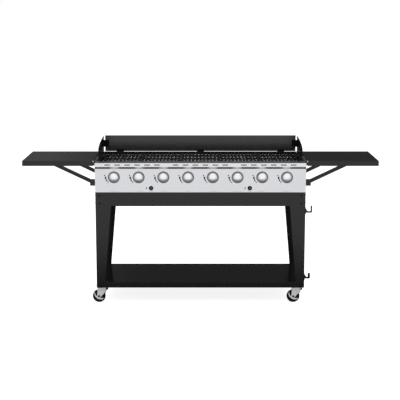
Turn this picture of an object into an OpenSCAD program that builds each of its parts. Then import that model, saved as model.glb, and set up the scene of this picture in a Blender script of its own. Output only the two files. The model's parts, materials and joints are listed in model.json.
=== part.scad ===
// Outdoor gas grill on a wheeled cart: eight burners, five cooking grates, a
// three-sided wind guard, two fold-down side tables and hooks for a gas bottle.
// Millimetres. The origin lies on the floor, below the middle of the whole grill.
// X runs to the user's right, Y to the back and Z up. The front faces -Y.

/* [Cart] */
// Width of the cart, the control panel and the firebox
body_w = 1435; // [1380:5:1600]
// Depth from the front legs' faces to the rear legs' faces
body_d = 545; // [510:5:620]
// Height of the legs' feet above the floor
caster_h = 112; // [108:1:125]
// Length of a leg
leg_h = 670; // [560:5:760]
// Width of a leg's flange at the top
leg_top_w = 115; // [95:1:130]
// Width of a leg's flange at the foot
leg_foot_w = 55; // [50:1:80]
// Thickness of a leg's folded sheet
leg_t = 2; // [1.5:0.1:3]
// Outer radius of the legs' folds
leg_bend_r = 4; // [3.5:0.5:6]
// Height of the rails under the firebox
rail_h = 97; // [90:1:120]
// Width of the rails' folded edges
rail_flange = 20; // [14:1:23]
// Thickness of the rails and of the shelf
cart_sheet = 1.5; // [1:0.1:2.5]
// Height of the shelf's folded edge
shelf_edge_h = 41; // [36:1:60]
// Distance of the bolts from a leg's outer corner
leg_bolt_in = 29; // [24:1:34]
// Depth of the upper bolt below the top of a leg
leg_bolt_drop = 22; // [18:1:26]
// Distance between a leg's two upper bolts
leg_bolt_pitch = 55; // [45:1:60]
// Height of the lower bolt above the foot
leg_bolt_rise = 16; // [13:1:20]

/* [Firebox] */
// Thickness of the firebox's sheet
box_sheet = 1.5; // [1:0.1:2.5]
// Width of the flat rim at both ends of the firebox
rim_w = 28; // [26:1:34]
// Height of the rear wall above the end walls
rear_rise = 7; // [4:0.5:12]
// Depth of the grate's top below the ledge, below zero where it stands above
grate_drop = -0.2; // [-4:0.1:4]
// Width of the ledges that carry the grates and the heat plates
ledge_w = 15; // [12:1:20]
// Height of the burners above the bottom of the control panel
burner_rise = 104; // [98:1:112]
// Height of the heat plates' ledge above the burners' axis
plate_rise = 24; // [20:1:30]
// Height of the firebox's floor above its lower edge, at the drain
floor_rise = 40; // [36:1:50]
// Climb of the floor from the drain to the walls
floor_climb = 24; // [12:1:30]
// Width of the drain along the floor
drain_w = 60; // [30:5:120]
// Distance from the drain's ends to the end walls
drain_end = 190; // [185:5:300]

/* [Control panel] */
// Thickness of the stainless sheet
panel_t = 1.2; // [0.8:0.1:2]
// Height of the control panel
panel_h = 161.5; // [150:0.5:180]
// Height of the sloping fold between the control panel and the slotted strip
recess_h = 14.3; // [10:0.1:24]
// Distance that the slotted strip stands out in front of the control panel
strip_out = 10; // [4:1:16]
// Height of the slotted strip
strip_h = 26.5; // [20:0.5:36]
// Depth of the ledge on top, from its front edge to the grates
ledge_d = 90; // [88:1:110]
// Depth of the folded edges behind the panel
fold_d = 12; // [8:1:14]
// Width of a slot in the strip
slot_w = 39; // [20:1:50]
// Height of a slot in the strip
slot_h = 6; // [4:0.5:10]
// Distance between slots
slot_pitch = 67.5; // [60:0.5:72]
// Number of slots in a group
slot_count = 6; // [2:1:6]
// Distance from the middle of an outer group of slots to the panel's end
slot_group_end = 254.5; // [230:0.5:280]
// Height of the igniter buttons above the bottom of the panel
igniter_rise = 29; // [28:1:40]
// Height of the lip along the bottom of the panel
lip_h = 7; // [4:0.5:10]
// Thickness of the lip in front of the panel
lip_out = 2; // [1:0.5:3]
// Radius of the igniter's ring
igniter_ring_r = 15.5; // [13:0.5:18]
// Radius of the igniter button
button_r = 9; // [7:0.5:10]
// Travel of the igniter button
button_travel = 3; // [2:0.5:4]

/* [Gas] */
// Number of burners
burner_count = 8; // [4:1:8]
// Distance from the last burner's axis to the end of the body
burner_end = 129.5; // [110:0.5:150]
// Radius of a burner's tube
burner_r = 12.5; // [10:0.5:14]
// Wall of a burner's tube
burner_wall = 1.2; // [0.8:0.1:2]
// Radius of the gas manifold
manifold_r = 10; // [8:0.5:12]
// Depth of the manifold behind the panel's face
manifold_d = 40; // [36:1:44]
// Width of a gas valve's body
valve_w = 26; // [22:1:32]
// Radius of a valve's stem
stem_r = 4; // [3:0.5:5]
// Radius of the gas inlet's male thread
inlet_r = 7.9; // [6:0.1:9]
// Length of the gas inlet's male thread
inlet_l = 16; // [12:1:20]
// Distance of the gas inlet from the end of the body
inlet_end = 77.5; // [60:0.5:80]
// Gap between neighbouring heat plates
plate_gap = 18; // [10:1:40]
// Height of a heat plate's ridge
plate_h = 16; // [10:1:22]
// Thickness of a heat plate
plate_t = 1; // [0.8:0.1:1.5]

/* [Knobs] */
// Radius of the ring behind a knob
bezel_r = 41; // [36:0.5:44]
// Thickness of the ring behind a knob
bezel_h = 5; // [3:0.5:8]
// Radius of a knob
knob_r = 31; // [26:0.5:34]
// Height of a knob above the ring
knob_h = 28; // [20:1:34]
// Rise of a knob's domed face
dome_h = 8; // [4:0.5:12]

/* [Grates] */
// Number of cooking grates
grate_count = 5; // [3:1:5]
// Gap between neighbouring grates
grate_gap = 2.4; // [1:0.2:5]
// Distance between a grate's bars
bar_pitch = 25; // [22:0.5:26]
// Width of a bar
bar_w = 13; // [9:0.5:16]
// Height of a bar
bar_h = 14; // [11:1:16]
// Width of the two bars across the grate
cross_w = 20; // [12:1:30]
// Depth of the cross bars' tops below the bars
cross_drop = 2; // [0.5:0.5:4]
// Height of the cross bars' undersides above the bars' undersides
cross_rise = 4; // [1:0.5:6]

/* [Wind guard] */
// Thickness of the guard's sheet
guard_t = 1.5; // [1:0.1:2.5]
// Distance from the rear panel's end to the end of the body
guard_in = 26; // [24:1:60]
// Height of the rear panel
guard_h = 115.5; // [90:0.5:180]
// Gap between the firebox's rear wall and the rear panel
guard_gap = 1.8; // [1:0.1:6]
// Distance of the wings from the body's sides
wing_in = 17; // [12:1:20]
// Height of a wing's front edge
wing_front_h = 72.5; // [50:0.5:90]
// Distance of a wing's front edge behind the ledge
wing_setback = 15; // [4:1:40]
// Thickness of the brackets
bracket_t = 2; // [1.5:0.1:3]
// Distance from an outer foot of the rear panel to the end of the body
foot_end = 134.5; // [110:0.5:200]
// Distance between the two bolts of a foot
foot_bolt_pitch = 36; // [30:1:40]

/* [Side tables] */
// Length of a table, away from the body
table_l = 481; // [440:1:520]
// Width of a table, from front to back
table_w = 491; // [460:1:500]
// Height of a table's folded edge
skirt_h = 35; // [33:1:42]
// Thickness of a table's sheet
table_t = 1.5; // [1:0.1:2]
// Gap between the body and a table
table_gap = 11.5; // [10:0.5:14]
// Height of the tables' tops above the ledge
table_rise = 13.7; // [6:0.1:16]
// Distance of the hinge axis from the table's inner edge
hinge_in = 21; // [20:0.5:24]
// Depth of the hinge axis below the table's top
hinge_drop = 20; // [19:0.5:22]
// Radius of the hinge pins
hinge_pin_r = 4; // [3:0.5:5]
// Width of a support arm
arm_w = 24.7; // [20:0.1:26]
// Depth of a support arm's channel
arm_d = 12; // [9:1:16]
// Distance between a support arm's pivot and the centre of its round tip
arm_l = 311; // [280:1:318]
// Depth of the first arm behind the body's front
arm_first_d = 35; // [30:1:40]
// Distance between the front arm and the rear arm
arm_pitch = 420; // [380:1:425]
// Height of the arms' pivots below the table's hinge
arm_pivot_drop = 128; // [124:1:134]
// Distance of the arms' pivots from the body's side
arm_pivot_out = 24.5; // [22:0.5:27]
// Reach of an arm's bracket from the body's side
arm_bracket_out = 37; // [36:0.5:42]
// Height of an arm's bracket
arm_bracket_h = 44; // [38:1:50]

/* [Casters] */
// Radius of a wheel
wheel_r = 44.5; // [40:0.5:46]
// Width of a wheel's tread
wheel_w = 25; // [20:1:28]
// Distance of a wheel's axle behind the swivel axis
caster_trail = 30; // [24:1:34]
// Distance of the swivel axis from a leg's outer faces
caster_in = 42.5; // [40:0.5:46]
// Thickness of the fork's plates
fork_t = 2.5; // [2:0.5:3.5]
// Radius of the axle
axle_r = 4; // [3:0.5:5]
// Radius of the kingpin
kingpin_r = 5; // [4:0.5:6]
// Radius of the swivel's race
race_r = 20; // [17:0.5:22]
// Height of the swivel's race
race_h = 7.7; // [6:0.1:9]
// Gap between a released brake shoe and the tread
brake_gap = 2.8; // [2.6:0.1:3.2]

/* [Gas bottle hooks] */
// Reach of the upper hook
hook_reach = 49; // [40:0.5:49]
// Depth of the upper hook's arm below the legs' tops
hook_upper_drop = 147; // [144:1:300]
// Height of the lower hook's arm above the legs' feet
hook_lower_rise = 58; // [40:1:120]
// Thickness of a hook's plate
hook_t = 4; // [3:0.5:6]

/* [Grease tray] */
// Distance from the grease tray's end to the end of the body
tray_end = 167.5; // [150:0.5:180]
// Height of the grease tray
tray_h = 24; // [16:1:26]
// Thickness of the grease tray's sheet
tray_t = 1; // [0.8:0.1:1.5]
// Height of the tray's floor above the firebox's lower edge
tray_rise = 5; // [4:0.5:8]

/* [Hidden] */

$fn = 48;
BLACK = "#2b2b2d";
STAINLESS = "#cfd1d6";
ZINC = "#b9bcc0";
RUBBER = "#18181a";
BRASS = "#b79a56";

// Clearances
run_gap = 0.05;
face_gap = 0.3;
bolt_r = 3;
small_bolt_r = 2.3;
bolt_gap = 0.2;
bolt_head_h = 3;
nut_h = 4;
// A cut runs this far past the face that it opens
cut = 1;

// Heights
leg_top_z = caster_h + leg_h;
panel_z = leg_top_z + face_gap;
panel_top_z = leg_top_z + panel_h;
strip_z = panel_top_z + recess_h;
ledge_z = strip_z + strip_h;
wall_top_z = ledge_z - panel_t;
rear_top_z = wall_top_z + rear_rise;
burner_z = leg_top_z + burner_rise;
plate_z = burner_z + plate_rise;
grate_z = ledge_z - grate_drop - bar_h;
table_z = ledge_z + table_rise;
hinge_z = table_z - hinge_drop;
arm_pivot_z = hinge_z - arm_pivot_drop;

// Distances behind the front face of the body, made into Y by the two ends below
knob_front_d = -(bezel_h + face_gap + knob_h);
guard_d = body_d + bracket_t;
tray_grip_out = 14;
rear_most_d = max(guard_d + guard_t + nut_h, body_d + tray_grip_out);
front_y = -(rear_most_d + knob_front_d) / 2;
rear_y = front_y + body_d;

// Distances from the middle
side_x = body_w / 2;
table_x = side_x + table_gap;
hinge_x = table_x + hinge_in;
arm_pivot_x = side_x + arm_pivot_out;
wing_x = side_x - wing_in;
burner_pitch = (body_w - 2 * burner_end) / (burner_count - 1);
plate_w = burner_pitch - plate_gap;
igniter_x = 2 * burner_pitch;
inlet_x = side_x - inlet_end;
slot_group_pitch = side_x - slot_group_end;
guard_w = body_w - 2 * guard_in;
foot_pitch = side_x - foot_end;
tray_w = body_w - 2 * tray_end;
hook_upper_rise = leg_h - hook_upper_drop;

// Angle of a support arm that just clears the underside of an open table
arm_seat = hinge_drop - table_t - arm_w / 2 - 0.5;
arm_angle = asin((arm_pivot_drop + arm_seat) / arm_l);

// Draws a flat shape in X and Z as a plate from y to y + t
module xz_plate(y, t) {
    translate([0, y + t, 0])
        rotate([90, 0, 0])
            linear_extrude(t)
                children();
}

// Draws a flat shape in Y and Z as a plate from x to x + t
module yz_plate(x, t) {
    translate([x, 0, 0])
        rotate([90, 0, 90])
            linear_extrude(t)
                children();
}

module mirrored(side) {
    mirror([side < 0 ? 1 : 0, 0, 0])
        children();
}

module both_sides() {
    for (side = [-1, 1])
        mirrored(side)
            children();
}

// A rectangle that starts at the origin, with its first corner rounded
module corner_square(w, d, r) {
    translate([r, 0])
        square([w - r, d]);
    translate([0, r])
        square([w, d - r]);
    translate([r, r])
        circle(r);
}

// A rectangle around the origin with four round corners
module rounded_rect(w, d, r) {
    square([w - 2 * r, d], center = true);
    square([w, d - 2 * r], center = true);
    for (x = [-1, 1], y = [-1, 1])
        translate([x * (w / 2 - r), y * (d / 2 - r)])
            circle(r);
}

// A shallow pan, open below: its top face lies at z = h
module pan(w, d, h, t, r) {
    difference() {
        linear_extrude(h)
            rounded_rect(w, d, r);
        translate([0, 0, -cut])
            linear_extrude(h - t + cut)
                rounded_rect(w - 2 * t, d - 2 * t, r - t);
    }
}

// A C-section of height h, its web along the first axis at 0 and its edges reaching to flange
module c_section(h, flange, t, r) {
    difference() {
        union() {
            translate([r, 0])
                square([flange - r, h]);
            translate([0, r])
                square([flange, h - 2 * r]);
            for (z = [r, h - r])
                translate([r, z])
                    circle(r);
        }
        translate([t, t])
            square([flange, h - 2 * t]);
    }
}

// A bolt along +Z: its head ends at z = 0, its shank passes the grip and ends in a nut
module bolt(grip, r = bolt_r) {
    union() {
        translate([0, 0, -bolt_head_h])
            cylinder(h = bolt_head_h, r = 1.85 * r, $fn = 6);
        translate([0, 0, -1])
            cylinder(h = 1, r = 2.15 * r);
        cylinder(h = grip + 0.1, r = r);
        translate([0, 0, grip])
            cylinder(h = nut_h, r = 1.75 * r, $fn = 6);
    }
}

module bolt_hole(grip, r = bolt_r) {
    translate([0, 0, -cut])
        cylinder(h = grip + 2 * cut, r = r + bolt_gap);
}

// Places a leg's own frame: outer corner at the origin, foot at z = 0, flanges along +X and +Y
module leg_corner(side, back) {
    translate([side * side_x, back ? rear_y : front_y, caster_h])
        mirror([side > 0 ? 1 : 0, 0, 0])
            mirror([0, back ? 1 : 0, 0])
                children();
}

leg_bolt_heights = [
    leg_bolt_rise,
    leg_h - leg_bolt_drop - leg_bolt_pitch,
    leg_h - leg_bolt_drop
];
leg_grip = leg_t + cart_sheet;

// Puts children at each bolt of a leg, along its outer face's inward normal
module leg_bolt_places() {
    for (z = leg_bolt_heights) {
        translate([leg_bolt_in, 0, z])
            rotate([-90, 0, 0])
                children();
        translate([0, leg_bolt_in, z])
            rotate([0, 90, 0])
                children();
    }
}

function leg_width(z) = leg_foot_w + (leg_top_w - leg_foot_w) * z / leg_h;

// The part of the sheet that the taper takes away from one flange
module leg_taper() {
    polygon([
        [leg_width(-cut), -cut],
        [leg_width(leg_h + cut), leg_h + cut],
        [2 * leg_top_w, leg_h + cut],
        [2 * leg_top_w, -cut]
    ]);
}

// A leg is one folded sheet whose two flanges narrow towards the foot
module leg(side, back) {
    color(BLACK)
        difference() {
            leg_corner(side, back)
                difference() {
                    linear_extrude(leg_h)
                        difference() {
                            corner_square(leg_top_w, leg_top_w, leg_bend_r);
                            translate([leg_t, leg_t])
                                corner_square(leg_top_w, leg_top_w, leg_bend_r - leg_t);
                        }
                    xz_plate(-cut, leg_top_w + 2 * cut)
                        leg_taper();
                    yz_plate(-cut, leg_top_w + 2 * cut)
                        leg_taper();
                    leg_bolt_places()
                        bolt_hole(leg_grip);
                }
            if (side > 0 && !back)
                hook_bolt_places()
                    bolt_hole(bracket_t + leg_t);
        }
}

// A rail along X with its web at y = 0 and its edges folded to +Y, notched at both ends
rail_notch = rail_flange + 4;
module rail(len) {
    difference() {
        translate([-len / 2, 0, 0])
            rotate([90, 0, 90])
                linear_extrude(len)
                    c_section(rail_h, rail_flange, cart_sheet, 2 * cart_sheet);
        for (side = [-1, 1])
            translate([side * len / 2 - rail_notch, 2 * cart_sheet, -cut])
                cube([2 * rail_notch, rail_flange, rail_h + 2 * cut]);
    }
}

rail_z = leg_top_z - rail_h;
rail_end_gap = leg_t + 4;

module cross_rail(back) {
    color(BLACK)
        difference() {
            translate([0, back ? rear_y - leg_t : front_y + leg_t, rail_z])
                mirror([0, back ? 1 : 0, 0])
                    rail(body_w - 2 * rail_end_gap);
            for (side = [-1, 1])
                leg_corner(side, back)
                    leg_bolt_places()
                        bolt_hole(leg_grip);
        }
}

module side_rails() {
    color(BLACK)
        for (side = [-1, 1])
            difference() {
                translate([side * (side_x - leg_t), front_y + body_d / 2, rail_z])
                    rotate([0, 0, side * 90])
                        rail(body_d - 2 * (leg_grip + 2));
                for (back = [false, true])
                    leg_corner(side, back)
                        leg_bolt_places()
                            bolt_hole(leg_grip);
            }
}

// The shelf is a pan that stands inside the four legs
module bottom_shelf() {
    color(BLACK)
        difference() {
            translate([0, front_y + body_d / 2, caster_h])
                pan(body_w - 2 * leg_t, body_d - 2 * leg_t, shelf_edge_h, cart_sheet, 5);
            for (side = [-1, 1], back = [false, true])
                leg_corner(side, back)
                    leg_bolt_places()
                        bolt_hole(leg_grip);
        }
}

// Casters. Their frame has its origin on the floor, below the swivel axis.
caster_plate_w = 2 * (caster_in - leg_grip);
caster_plate_t = 3;
crown_z = caster_h - race_h - face_gap;
crown_t = 4;
cheek_in = wheel_w / 2 + 2.5;
cheek_out = cheek_in + fork_t;
axle_head_h = 3;
brake_pivot = [14, crown_z - 16];
brake_pin_r = 3;
shoe_r = 4;
strap_r = 45;
shoe_angle = 33;
shoe_at = [
    -caster_trail + (wheel_r + brake_gap + shoe_r) * cos(shoe_angle),
    wheel_r + (wheel_r + brake_gap + shoe_r) * sin(shoe_angle)
];

module caster_place(side, back) {
    translate([
        side * (side_x - caster_in),
        back ? rear_y - caster_in : front_y + caster_in,
        0
    ])
        children();
}

// The fixed plate at a leg's foot, with the upper race of the swivel under it
module caster_plates() {
    color(ZINC)
        for (side = [-1, 1], back = [false, true])
            caster_place(side, back)
                difference() {
                    union() {
                        translate([0, 0, caster_h])
                            linear_extrude(caster_plate_t)
                                rounded_rect(caster_plate_w, caster_plate_w, 6);
                        translate([0, 0, crown_z + face_gap])
                            cylinder(h = race_h / 2 + cut, r = race_r);
                        translate([0, 0, caster_h - race_h / 2])
                            cylinder(h = race_h / 2 + cut, r = race_r - 4);
                    }
                    cylinder(h = 2 * caster_h, r = kingpin_r + run_gap);
                }
}

// One cheek of the fork, in X and Z. A curved guard crosses the wheel below the axle.
module fork_cheek(braked) {
    difference() {
        union() {
            translate([-caster_trail, wheel_r]) {
                circle(13);
                intersection() {
                    difference() {
                        translate([12, 22])
                            circle(strap_r);
                        translate([16, 32])
                            circle(strap_r);
                    }
                    polygon([[-34, 24], [-26, 30], [0, 0], [30, -14], [30, -26], [-34, -26]]);
                }
            }
            polygon([
                [-caster_trail - 12.4, wheel_r + 4],
                [-caster_trail - 9, crown_z],
                [braked ? 20 : 12, crown_z],
                [braked ? 20 : 12, crown_z - 20],
                [-caster_trail + 11, wheel_r - 7]
            ]);
        }
        if (braked)
            translate(brake_pivot)
                circle(brake_pin_r + run_gap);
    }
}

module caster_fork(side, back) {
    color(ZINC)
        caster_place(side, back)
            union() {
                for (y = [-cheek_out, cheek_in])
                    xz_plate(y, fork_t)
                        fork_cheek(!back);
                translate([-caster_trail - 9, -cheek_out, crown_z - crown_t])
                    cube([caster_trail + (back ? 21 : 29), 2 * cheek_out, crown_t]);
                cylinder_between(crown_z - cut, caster_h + caster_plate_t + face_gap, kingpin_r);
                cylinder_between(
                    caster_h + caster_plate_t + face_gap,
                    caster_h + caster_plate_t + face_gap + 5,
                    kingpin_r + 4
                );
                translate([-caster_trail, cheek_out + axle_head_h, wheel_r])
                    rotate([90, 0, 0])
                        cylinder(h = 2 * (cheek_out + axle_head_h), r = axle_r);
                for (y = [-cheek_out, cheek_out + axle_head_h])
                    translate([-caster_trail, y, wheel_r])
                        rotate([90, 0, 0])
                            cylinder(h = axle_head_h, r = axle_r + 3);
            }
}

module cylinder_between(z1, z2, r) {
    translate([0, 0, z1])
        cylinder(h = z2 - z1, r = r);
}

// Half of a wheel's section: bore, hub, web and round-shouldered tread
module wheel_section() {
    hub_w = cheek_in - face_gap;
    polygon([
        [axle_r + run_gap, -hub_w],
        [12, -hub_w],
        [13, -5],
        [wheel_r - 15, -5],
        [wheel_r - 13, -wheel_w / 2],
        [wheel_r - 3, -wheel_w / 2],
        [wheel_r - 0.8, -wheel_w / 2 + 2.5],
        [wheel_r, -wheel_w / 2 + 6],
        [wheel_r, wheel_w / 2 - 6],
        [wheel_r - 0.8, wheel_w / 2 - 2.5],
        [wheel_r - 3, wheel_w / 2],
        [wheel_r - 13, wheel_w / 2],
        [wheel_r - 15, 5],
        [13, 5],
        [12, hub_w],
        [axle_r + run_gap, hub_w]
    ]);
}

module caster_wheel(side, back) {
    color(RUBBER)
        caster_place(side, back)
            translate([-caster_trail, 0, wheel_r])
                rotate([90, 0, 0])
                    rotate_extrude()
                        wheel_section();
}

// A foot brake: a wedge-shaped pedal outside the fork and a shoe above the tread
module caster_brake(side) {
    lever_w = 2 * cheek_in - 2 * face_gap;
    color(RUBBER)
        caster_place(side, false) {
            xz_plate(-lever_w / 2, lever_w)
                union() {
                    translate(brake_pivot)
                        circle(6);
                    translate(shoe_at)
                        circle(shoe_r);
                    polygon([
                        brake_pivot + [-6, 0],
                        brake_pivot + [5, -3],
                        shoe_at + [shoe_r, 0],
                        shoe_at + [-shoe_r, 0]
                    ]);
                    polygon([
                        brake_pivot + [-3, 5],
                        brake_pivot + [8, 9],
                        brake_pivot + [17, 13],
                        brake_pivot + [19, 6],
                        brake_pivot + [3, -5]
                    ]);
                }
            translate([brake_pivot[0], cheek_out, brake_pivot[1]])
                rotate([90, 0, 0])
                    cylinder(h = 2 * cheek_out, r = brake_pin_r);
        }
}

// Firebox
valve_back_d = manifold_d + valve_w / 2 + 8;
burner_front_d = valve_back_d + 14;
firebox_front_d = ledge_d;
grate_ledge_z = grate_z - box_sheet;
floor_z = leg_top_z + floor_rise;
inner_d = body_d - box_sheet - firebox_front_d - box_sheet;
drain_mid_d = firebox_front_d + box_sheet + inner_d / 2;
slot_open_z = leg_top_z + box_sheet;
slot_top_z = leg_top_z + tray_rise + tray_h + 3;
tray_slot_side = tray_w / 2 + 8;
air_slot_w = 80;
air_slot_h = 8;

function burner_x(i) = (i - (burner_count - 1) / 2) * burner_pitch;

// A strip of sheet in Y and Z, from d1 to d2 behind the front and from z1 to z2
module strip(d1, d2, z1, z2) {
    translate([front_y + d1, z1])
        square([d2 - d1, z2 - z1]);
}

// The firebox's section: walls, ledges for grates and heat plates, and the sloping floor
module firebox_section() {
    front_in = firebox_front_d + box_sheet;
    rear_in = body_d - box_sheet;
    strip(firebox_front_d, front_in, leg_top_z, wall_top_z);
    strip(rear_in, body_d, leg_top_z, wall_top_z);
    for (z = [grate_ledge_z, plate_z - box_sheet]) {
        strip(firebox_front_d, front_in + ledge_w, z, z + box_sheet);
        strip(rear_in - ledge_w, body_d, z, z + box_sheet);
    }
    strip(rear_in - ledge_w, body_d, burner_z - burner_r - 0.2 - box_sheet, burner_z - burner_r - 0.2);
    strip(body_d - ledge_w - box_sheet, body_d, leg_top_z, leg_top_z + box_sheet);
    for (end = [[firebox_front_d, drain_mid_d - drain_w / 2], [body_d, drain_mid_d + drain_w / 2]])
        polygon([
            [front_y + end[0], floor_z + floor_climb],
            [front_y + end[1], floor_z],
            [front_y + end[1], floor_z - box_sheet],
            [front_y + end[0], floor_z + floor_climb - box_sheet]
        ]);
}

module firebox() {
    length = body_w - 2 * box_sheet;
    color(BLACK)
        difference() {
            union() {
                yz_plate(-length / 2 - box_sheet / 2, length + box_sheet)
                    firebox_section();
                // Between the wings the rear wall stands higher
                yz_plate(-wing_x + cut, 2 * (wing_x - cut))
                    strip(body_d - box_sheet, body_d, wall_top_z - cut, rear_top_z);
                both_sides() {
                    yz_plate(side_x - box_sheet, box_sheet)
                        strip(panel_t, body_d, leg_top_z, wall_top_z);
                    translate([side_x - rim_w, front_y + firebox_front_d, wall_top_z - box_sheet])
                        cube([rim_w, body_d - firebox_front_d, box_sheet]);
                    translate([side_x - rail_flange, front_y + rail_notch + leg_grip, leg_top_z])
                        cube([rail_flange, body_d - 2 * (rail_notch + leg_grip), box_sheet]);
                }
                // Closes the floor beyond the drain's two ends
                both_sides()
                    translate([side_x - drain_end, front_y + drain_mid_d - drain_w / 2 - cut, floor_z - box_sheet])
                        cube([drain_end - box_sheet / 2, drain_w + 2 * cut, box_sheet]);
            }
            for (i = [0 : burner_count - 1])
                translate([burner_x(i), front_y + firebox_front_d + box_sheet + cut, burner_z])
                    rotate([90, 0, 0])
                        cylinder(h = box_sheet + 2 * cut, r = burner_r + face_gap);
            // The slot through which the grease tray slides out at the back
            translate([-tray_slot_side, rear_y - box_sheet - ledge_w - cut, slot_open_z - cut - box_sheet])
                cube([2 * tray_slot_side, box_sheet + ledge_w + 2 * cut, slot_top_z - slot_open_z + cut + box_sheet]);
            // Air slots in the rear wall, level with the burners
            for (i = [0 : burner_count - 2])
                translate([
                    (burner_x(i) + burner_x(i + 1) - air_slot_w) / 2,
                    rear_y - box_sheet - cut,
                    burner_z - air_slot_h / 2
                ])
                    cube([air_slot_w, box_sheet + 2 * cut, air_slot_h]);
            body_bolt_places()
                bolt_hole(box_sheet + bracket_t);
            both_sides()
                rim_bolt_places()
                    bolt_hole(guard_t + box_sheet, small_bolt_r);
        }
}

// The control panel: a stainless face with a folded edge on all four sides
module control_panel() {
    h = panel_top_z - panel_z;
    color(STAINLESS)
        difference() {
            union() {
                xz_plate(front_y, panel_t)
                    translate([-side_x, panel_z])
                        square([body_w, h]);
                for (z = [panel_z, panel_top_z - panel_t])
                    translate([-side_x + 2 * box_sheet, front_y, z])
                        cube([body_w - 4 * box_sheet, fold_d, panel_t]);
                both_sides()
                    translate([side_x - box_sheet - panel_t, front_y, panel_z])
                        cube([panel_t, fold_d, h]);
                // The lip along the bottom, with a sloping top
                yz_plate(-side_x, body_w)
                    polygon([
                        [front_y + panel_t / 2, panel_z],
                        [front_y - lip_out, panel_z],
                        [front_y - lip_out, panel_z + lip_h],
                        [front_y, panel_z + lip_h + lip_out],
                        [front_y + panel_t / 2, panel_z + lip_h + lip_out]
                    ]);
            }
            for (i = [0 : burner_count - 1])
                translate([burner_x(i), front_y + 2 * cut, burner_z])
                    rotate([90, 0, 0])
                        cylinder(h = 4 * cut, r = stem_r + 2);
            for (side = [-1, 1])
                translate([side * igniter_x, front_y + 2 * cut, leg_top_z + igniter_rise])
                    rotate([90, 0, 0])
                        cylinder(h = 4 * cut, r = igniter_barrel_r + 0.2);
        }
}

// The ledge on top of the control box. Its front is the slotted strip, which stands out in front
// of the panel, and from there a sloping fold leads down and back onto the panel.
module vent_trim() {
    seat_z = panel_top_z + face_gap;
    color(STAINLESS)
        difference() {
            union() {
                xz_plate(front_y - strip_out, panel_t)
                    translate([-side_x, strip_z])
                        square([body_w, strip_h]);
                translate([-side_x, front_y - strip_out, wall_top_z])
                    cube([body_w, strip_out + ledge_d + box_sheet, panel_t]);
                yz_plate(-side_x, body_w)
                    polygon([
                        [front_y - strip_out, strip_z + cut],
                        [front_y - strip_out, strip_z],
                        [front_y, seat_z],
                        [front_y + panel_t, seat_z],
                        [front_y + panel_t, seat_z + panel_t],
                        [front_y - strip_out + panel_t, strip_z + cut]
                    ]);
                translate([-side_x + 2 * box_sheet, front_y, seat_z])
                    cube([body_w - 4 * box_sheet, fold_d, panel_t]);
                // Closes both ends of the part that stands out
                both_sides()
                    yz_plate(side_x - panel_t, panel_t)
                        polygon([
                            [front_y - strip_out, wall_top_z + panel_t],
                            [front_y - strip_out, strip_z],
                            [front_y, seat_z],
                            [front_y + panel_t, seat_z],
                            [front_y + panel_t, wall_top_z + panel_t]
                        ]);
            }
            for (group = [-1 : 1], i = [0 : slot_count - 1])
                translate([
                    group * slot_group_pitch + (i - (slot_count - 1) / 2) * slot_pitch,
                    0,
                    strip_z + strip_h / 2
                ])
                    xz_plate(front_y - strip_out - cut, panel_t + 2 * cut)
                        rounded_rect(slot_w, slot_h, slot_h / 2 - 0.01);
        }
}

// Cooking grates
grate_span = body_w - 2 * rim_w - 2 * grate_gap;
grate_pitch = (grate_span + grate_gap) / grate_count;
grate_w = grate_pitch - grate_gap;
grate_end_gap = 2.5;
grate_front_d = firebox_front_d + box_sheet + grate_end_gap;
grate_l = body_d - box_sheet - grate_end_gap - grate_front_d;
inner_bars = floor((grate_w / 2 - bar_w) / bar_pitch);

// A cast bar's section: narrower below, with its top at z = h
module bar_section(w, h) {
    draft = 1.2;
    polygon([
        [-w / 2 + draft, 0],
        [w / 2 - draft, 0],
        [w / 2, h - 2],
        [w / 2 - 1, h],
        [-w / 2 + 1, h],
        [-w / 2, h - 2]
    ]);
}

module grate_bar(x, w) {
    translate([x, grate_l / 2, 0])
        rotate([90, 0, 0])
            linear_extrude(grate_l)
                bar_section(w, bar_h);
}

module cooking_grate(i) {
    first_gap_x = inner_bars * bar_pitch + bar_w / 2;
    edge_w = grate_w / 2 - first_gap_x - (bar_pitch - bar_w);
    x = (i - (grate_count + 1) / 2) * grate_pitch;
    color(BLACK)
        translate([x, front_y + grate_front_d + grate_l / 2, grate_z])
            union() {
                for (k = [-inner_bars : inner_bars])
                    grate_bar(k * bar_pitch, bar_w);
                for (side = [-1, 1])
                    grate_bar(side * (grate_w - edge_w) / 2, edge_w);
                for (k = [-1, 1], bar = [[k * grate_l / 6, cross_w], [k * (grate_l - bar_w) / 2, bar_w]])
                    translate([-grate_w / 2 + 2, bar[0] - bar[1] / 2, cross_rise])
                        cube([grate_w - 4, bar[1], bar_h - cross_drop - cross_rise]);
            }
}

// Heat plates: one folded sheet over each burner, and a flat shield in front of the rear wall
shield_d = body_d - box_sheet - nut_h - 1;
shield_x = side_x - rim_w / 2;
module heat_plates() {
    plate_front_d = firebox_front_d + box_sheet + 1;
    plate_l = shield_d - plate_t - face_gap - plate_front_d;
    color(STAINLESS) {
        yz_plate(-shield_x, 2 * shield_x)
            strip(shield_d - plate_t, shield_d, plate_z, grate_ledge_z - face_gap);
        for (i = [0 : burner_count - 1])
            translate([burner_x(i), front_y + plate_front_d + plate_l, plate_z])
                rotate([90, 0, 0])
                    linear_extrude(plate_l)
                        polygon([
                            [-plate_w / 2, 0],
                            [-plate_w / 2 + plate_t, 0],
                            [-plate_w / 2 + plate_t, 5],
                            [0, plate_h - plate_t * 1.1],
                            [plate_w / 2 - plate_t, 5],
                            [plate_w / 2 - plate_t, 0],
                            [plate_w / 2, 0],
                            [plate_w / 2, 6],
                            [0, plate_h],
                            [-plate_w / 2, 6]
                        ]);
    }
}

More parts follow.
